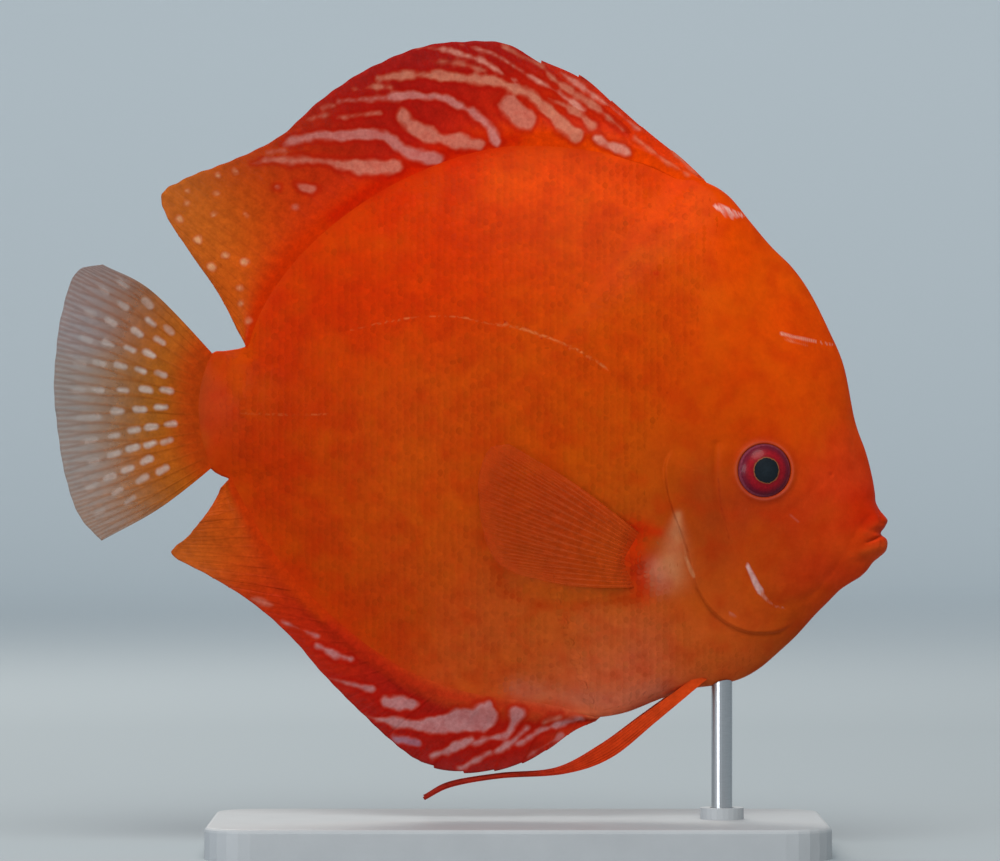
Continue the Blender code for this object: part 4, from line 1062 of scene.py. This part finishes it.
def noise(tree, size, detail=2.0, seed=0.0, stretch=(1, 1, 1)):
    """Noise with features of about `size` metres."""
    moved = add(tree, "ShaderNodeMapping", {
        "Vector": add(tree, "ShaderNodeTexCoord").outputs["Object"], "Location": (seed, seed, seed),
        "Scale": stretch,
    })
    return add(tree, "ShaderNodeTexNoise", {"Vector": moved.outputs[0], "Scale": 1 / size, "Detail": detail})


def varied(tree, colour, amount, size, seed=0.0):
    """A colour made darker and lighter by noise: amount is the swing in value."""
    cloud = noise(tree, size, 3.0, seed)
    value = add(tree, "ShaderNodeMapRange", {"Value": cloud.outputs["Fac"], "From Min": 0.3, "From Max": 0.7,
                                             "To Min": 1 - amount, "To Max": 1 + amount})
    return add(tree, "ShaderNodeHueSaturation", {"Color": colour, "Value": value.outputs[0]}).outputs[0]


def bumped(tree, shader, size, height, stretch=(1, 1, 1)):
    """A fine grain in the surface for the gloss to catch on."""
    cloud = noise(tree, size, 2.0, 0.0, stretch)
    bump = add(tree, "ShaderNodeBump", {"Height": cloud.outputs["Fac"], "Distance": height, "Strength": 1.0})
    tree.links.new(bump.outputs[0], shader.inputs["Normal"])


def flecked(tree, colour, fleck, size, low, high, strength, seed=0.0):
    """Soft flecks of another colour where the noise peaks."""
    cloud = noise(tree, size, 1.5, seed)
    where = add(tree, "ShaderNodeMapRange", {"Value": cloud.outputs["Fac"], "From Min": low, "From Max": high,
                                             "To Min": 0.0, "To Max": strength})
    over = {"Factor": where.outputs[0], "A": colour, "B": rgba(fleck)}
    return add(tree, "ShaderNodeMix", over, data_type="RGBA").outputs["Result"]


# The streaks' edges: each noise's size, its swing as a share of `ragged`, and its place in the noise
EDGE_NOISES = ((3.2 * MM, 2.6, 9.0), (1.2 * MM, 0.5, 12.0))
# Only streaks stronger than this have a halo
HALO_FROM = 0.62


def streaked(tree, colour, ragged, soft, border=None, halo=None):
    """Lays the stored streaks over a colour, their edges made ragged by noise and `soft` pixels wide.

    `border` tints the streaks' own rim, and `halo` darkens the web round them: a tone, its reach in picture
    pixels and its strength.
    """
    depth = add(tree, "ShaderNodeAttribute", attribute_name="depth").outputs["Fac"]
    streak = add(tree, "ShaderNodeVertexColor", layer_name="streak")
    for size, share, seed in EDGE_NOISES:
        cloud = noise(tree, size, 1.0, seed).outputs["Fac"]
        edge = add(tree, "ShaderNodeMath", {0: cloud, 1: 2 * share * ragged, 2: -share * ragged},
                   operation="MULTIPLY_ADD")
        depth = add(tree, "ShaderNodeMath", {0: depth, 1: edge.outputs[0]}, operation="ADD").outputs[0]
    if halo:
        tone, reach, strength = halo
        near = add(tree, "ShaderNodeMapRange", {"Value": depth, "From Min": -reach, "From Max": -0.5,
                                                "To Max": strength}, interpolation_type="SMOOTHSTEP")
        strong = add(tree, "ShaderNodeMapRange", {
            "Value": streak.outputs["Alpha"], "From Min": HALO_FROM - 0.01, "From Max": HALO_FROM + 0.01,
        })
        share = add(tree, "ShaderNodeMath", {0: near.outputs[0], 1: strong.outputs[0]}, operation="MULTIPLY")
        over = {"Factor": share.outputs[0], "A": colour, "B": rgba(tone)}
        colour = add(tree, "ShaderNodeMix", over, data_type="RGBA").outputs["Result"]
    cover = add(tree, "ShaderNodeMapRange", {
        "Value": depth, "From Min": -soft, "From Max": 1.6 * soft, "To Max": streak.outputs["Alpha"],
    }, interpolation_type="SMOOTHSTEP")
    patchy = add(tree, "ShaderNodeMapRange", {"Value": noise(tree, 2.2 * MM, 3.0, 18.0).outputs["Fac"],
                                            "From Min": 0.36, "From Max": 0.56, "To Min": 0.78})
    cover = add(tree, "ShaderNodeMath", {0: cover.outputs[0], 1: patchy.outputs[0]}, operation="MULTIPLY")
    tone = varied(tree, streak.outputs["Color"], 0.16, 0.8 * MM, 15.0)
    if border:
        middle = add(tree, "ShaderNodeMapRange", {"Value": depth, "From Min": -1.0, "From Max": 3.4})
        over = {"Factor": middle.outputs[0], "A": rgba(border), "B": tone}
        tone = add(tree, "ShaderNodeMix", over, data_type="RGBA").outputs["Result"]
    over = {"Factor": cover.outputs[0], "A": colour, "B": tone}
    return add(tree, "ShaderNodeMix", over, data_type="RGBA").outputs["Result"]


print("finish helpers ready")

# %% Fish finishes
def fish_skin(name, roughness, bump_size, bump_height):
    """Painted tint, a mottling of 3 mm and 0.8 mm, amber and red flecks, the streaks, and a fine grain."""
    made, tree, shader = finish(name, {
        "Roughness": roughness, "Coat Weight": 0.01, "Coat Roughness": 0.25, "Specular IOR Level": 0.015,
        "Subsurface Weight": 0.06, "Subsurface Radius": (1.0, 0.35, 0.15), "Subsurface Scale": 0.8 * MM,
    })
    painted = add(tree, "ShaderNodeVertexColor", layer_name="tint").outputs["Color"]
    mottled = varied(tree, painted, 0.07, 3.0 * MM)
    mottled = varied(tree, mottled, 0.05, 0.8 * MM, 3.0)
    mottled = flecked(tree, mottled, "C45A04", 9.0 * MM, 0.42, 0.78, 0.22, 21.0)
    mottled = flecked(tree, mottled, "A82002", 4.0 * MM, 0.46, 0.74, 0.34, 7.0)
    tree.links.new(streaked(tree, mottled, 0.5, 1.0), shader.inputs["Base Color"])
    bumped(tree, shader, bump_size, bump_height)
    return made


# Slime and soft skin blur the gloss, so highlights are wide and weak, and some light goes into the flesh
skin.data.materials.clear()
skin.data.materials.append(fish_skin("soft fish skin, satin under a thin clear slime coat", 0.42, 0.35 * MM,
                                     0.03 * MM))
# Horn is a little smoother than skin, and each plate lies at its own angle, so the flank has a fine shimmer
scale_finish = fish_skin("fish scales, thin horny plates with a clear slime coat", 0.4, 0.3 * MM, 0.02 * MM)
for side_name in ("left", "right"):
    mesh = bpy.data.objects[f"scales_{side_name}"].data
    mesh.materials.clear()
    mesh.materials.append(scale_finish)


def fin_skin(name, ragged, soft, border=None, halo=None):
    """Painted tint and fine mottling under the stored streaks, see-through where the paint says so."""
    made, tree, shader = finish(name, {
        "Roughness": 0.42, "Coat Weight": 0.01, "Coat Roughness": 0.25, "Specular IOR Level": 0.015,
    })
    painted = add(tree, "ShaderNodeVertexColor", layer_name="tint")
    mottled = varied(tree, painted.outputs["Color"], 0.14, 1.4 * MM, 2.0)
    mottled = varied(tree, mottled, 0.08, 0.5 * MM, 5.0)
    tree.links.new(streaked(tree, mottled, ragged, soft, border, halo), shader.inputs["Base Color"])
    tree.links.new(painted.outputs["Alpha"], shader.inputs["Alpha"])
    bumped(tree, shader, 0.5 * MM, 0.04 * MM)
    return made


# The marbled web is thick enough to look solid, and the clear one lets what stands behind it show through
marbled = fin_skin("marbled fin membrane, thin wet skin stretched over rays", 2.2, 2.2, "A83C1C",
                   ("940602", 6.5, 0.5))
clear_web = fin_skin("clear fin membrane, thin wet skin stretched over rays", 0.9, 1.5)
for sheet in fins:
    sheet.data.materials.clear()
    sheet.data.materials.append(marbled if sheet in fins[:2] else clear_web)

# %% Eye finish
BALL_MM = EYE_BALL / MM
# Each ring of the iris: how far it is from the eye's axis (mm), and its tone
EYE_RINGS = [
    (0.0, "1A2228"), (2.2, "141A20"), (2.34, "0E1216"), (2.40, "7E5030"), (2.50, "7C4026"), (2.60, "7A0C16"),
    (3.2, "8A0C1A"), (3.8, "7A0A1A"), (4.1, "680C20"), (4.6, "5A1024"), (4.85, "743040"), (5.1, "6A2830"),
]
# The thin polished coat gives a small sharp highlight over the softer gloss of the iris
eye_finish, tree, shader = finish("eyeball, polished clear lens over a painted iris", {
    "Roughness": 0.3, "Specular IOR Level": 0.1, "Coat Weight": 0.08, "Coat Roughness": 0.03, "Coat IOR": 1.4,
})
out_mm = add(tree, "ShaderNodeAttribute", attribute_name="axis_mm").outputs["Fac"]
cloud = noise(tree, 0.5 * MM, 2.0, 4.0)
wobble = add(tree, "ShaderNodeMapRange", {"Value": cloud.outputs["Fac"], "From Min": 0.3, "From Max": 0.7,
                                          "To Min": -0.08, "To Max": 0.08})
uneven = add(tree, "ShaderNodeMath", {0: out_mm, 1: wobble.outputs[0]}, operation="ADD")
share = add(tree, "ShaderNodeMath", {0: uneven.outputs[0], 1: BALL_MM}, operation="DIVIDE")
rings = add(tree, "ShaderNodeValToRGB", {"Fac": share.outputs[0]})
ramp_stops = rings.color_ramp.elements
while len(ramp_stops) < len(EYE_RINGS):
    ramp_stops.new(0.5)
for stop, (radius, tone) in zip(ramp_stops, EYE_RINGS):
    stop.position = radius / BALL_MM
for stop, (radius, tone) in zip(ramp_stops, EYE_RINGS):
    stop.color = rgba(tone)
tree.links.new(varied(tree, rings.outputs["Color"], 0.15, 0.4 * MM), shader.inputs["Base Color"])
for eye in eyes:
    eye.data.materials.clear()
    eye.data.materials.append(eye_finish)
print("materials:", len(bpy.data.materials))

# %% [markdown]
# ## The stand
# The plate is powder-coated steel: an even satin colour with a very fine orange-peel skin. The rod is turned
# and brushed stainless steel, whose fine rings run round it and stretch the highlights.

# %% Stand finishes
def two_toned(tree, shader, share, first, second):
    """Lets the base colour run from one tone to another."""
    tones = {"Factor": share, "A": rgba(first), "B": rgba(second)}
    made = add(tree, "ShaderNodeMix", tones, data_type="RGBA")
    tree.links.new(made.outputs["Result"], shader.inputs["Base Color"])


# Baked powder flows into a skin without brush marks, and its fine waves soften the reflections
plate_finish, tree, shader = finish("steel plate, satin powder coat", {
    "Roughness": 0.5, "Specular IOR Level": 0.4,
})
two_toned(tree, shader, noise(tree, 6 * MM, 3.0).outputs["Fac"], "9EA3A7", "A8ADB1")
bumped(tree, shader, 0.6 * MM, 0.02 * MM)
rod_finish, tree, shader = finish("stainless steel rod, turned and brushed", {
    "Metallic": 1.0, "Roughness": 0.3,
})
BRUSH_MARK, BRUSH_STRETCH = 0.25 * MM, (0.15, 0.15, 3.0)
brushed = noise(tree, BRUSH_MARK, 2.0, 0.0, BRUSH_STRETCH)
two_toned(tree, shader, brushed.outputs["Fac"], "A8ACB0", "C8CCD0")
bumped(tree, shader, BRUSH_MARK, 0.01 * MM, BRUSH_STRETCH)
for node, made in (("stand_base", plate_finish), ("stand_rod", rod_finish)):
    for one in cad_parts[node].material_slots:
        one.material = made
print("stand done")

# %% [markdown]
# ## Studio
# A pale floor that sweeps up behind the model, one wide soft light high on the camera's side, a lower one
# from the tail's side, one from behind and above that draws the outline, and a last one that lights the wall.

# %% Floor, lights and camera
scene = bpy.context.scene
FLOOR_WIDE, FLOOR_FRONT, BEND_AT, BEND_RADIUS, WALL_TOP = 14.0, -7.0, 1.9, 0.9, 3.6
# The sweep's rows: a flat floor, a quarter bend and an upright wall
FLAT_ROWS, BEND_ROWS, WALL_ROWS = 10, 20, 10
sweep_rows = FLAT_ROWS + BEND_ROWS + WALL_ROWS
sweep = primitive("studio_sweep", bpy.ops.mesh.primitive_grid_add, x_subdivisions=1,
                  y_subdivisions=sweep_rows, size=1)
co = places(sweep)
step = np.round((co[:, 1] + 0.5) * sweep_rows).astype(int)
bend = np.clip((step - FLAT_ROWS) / BEND_ROWS, 0, 1) * math.pi / 2
on_floor = FLOOR_FRONT + (BEND_AT - FLOOR_FRONT) * step / FLAT_ROWS
depth = np.where(step < FLAT_ROWS, on_floor, BEND_AT + BEND_RADIUS * np.sin(bend))
rise = np.where(step < FLAT_ROWS, 0, BEND_RADIUS * (1 - np.cos(bend)))
up_wall = BEND_RADIUS + (WALL_TOP - BEND_RADIUS) * (step - FLAT_ROWS - BEND_ROWS) / WALL_ROWS
rise = np.where(step > FLAT_ROWS + BEND_ROWS, up_wall, rise)
put(sweep, np.column_stack([co[:, 0] * FLOOR_WIDE, depth, rise]))
bpy.ops.object.shade_smooth()
paper, tree, shader = finish("studio paper, matt pale grey", {"Roughness": 0.9, "Specular IOR Level": 0.2})
# The paper is painted darker near the model and lighter far from it: painted light, in place of brighter
# light on the far floor and the wall
where = add(tree, "ShaderNodeTexCoord").outputs["Object"]
away = add(tree, "ShaderNodeVectorMath", {0: where}, operation="LENGTH").outputs["Value"]
outer = add(tree, "ShaderNodeMapRange", {"Value": away, "From Min": 0.5, "From Max": 2.6})
two_toned(tree, shader, outer.outputs[0], "98A2A8", "D0DADF")
sweep.data.materials.append(paper)

FISH_MIDDLE = Vector((0, 0, 0.085))


def soft_light(name, place, size, watts, tone, aim=FISH_MIDDLE):
    bpy.ops.object.select_all(action="DESELECT")
    bpy.ops.object.light_add(type="AREA", location=place)
    lamp = bpy.context.object
    lamp.name = name
    lamp.data.shape = "DISK"
    lamp.data.size = size
    lamp.data.energy = watts
    lamp.data.color = linear(tone)[0]
    lamp.rotation_euler = (aim - Vector(place)).to_track_quat("-Z", "Y").to_euler()
    return lamp


soft_light("key_light", (0.05, -0.75, 0.95), 0.7, 9.5, "FFFAF2")
soft_light("low_light", (-0.85, -0.85, 0.2), 0.6, 6.5, "F8FAFF")
soft_light("back_light", (-0.3, 0.7, 0.8), 0.6, 6, "FFF4E8")
soft_light("wall_light", (0, 1.2, 1.8), 1.0, 8.5, "FFFFFF", Vector((0, 2.3, 0)))
world = bpy.data.worlds.new("studio_air")
world.use_nodes = True
world.node_tree.nodes["Background"].inputs["Color"].default_value = rgba("DDE4EA")
world.node_tree.nodes["Background"].inputs["Strength"].default_value = 0.55
scene.world = world

CAMERA_AT, LENS_MM = (0.0056, -1.2, 0.0805), 225.2
bpy.ops.object.camera_add(location=CAMERA_AT, rotation=(math.pi / 2, 0, 0))
camera = bpy.context.object
camera.name = "studio_camera"
camera.data.lens = LENS_MM
camera.data.sensor_width = 36
camera.data.clip_start = 0.01
scene.camera = camera
scene.view_settings.view_transform = "Standard"
print("camera looks along +Y from", CAMERA_AT)
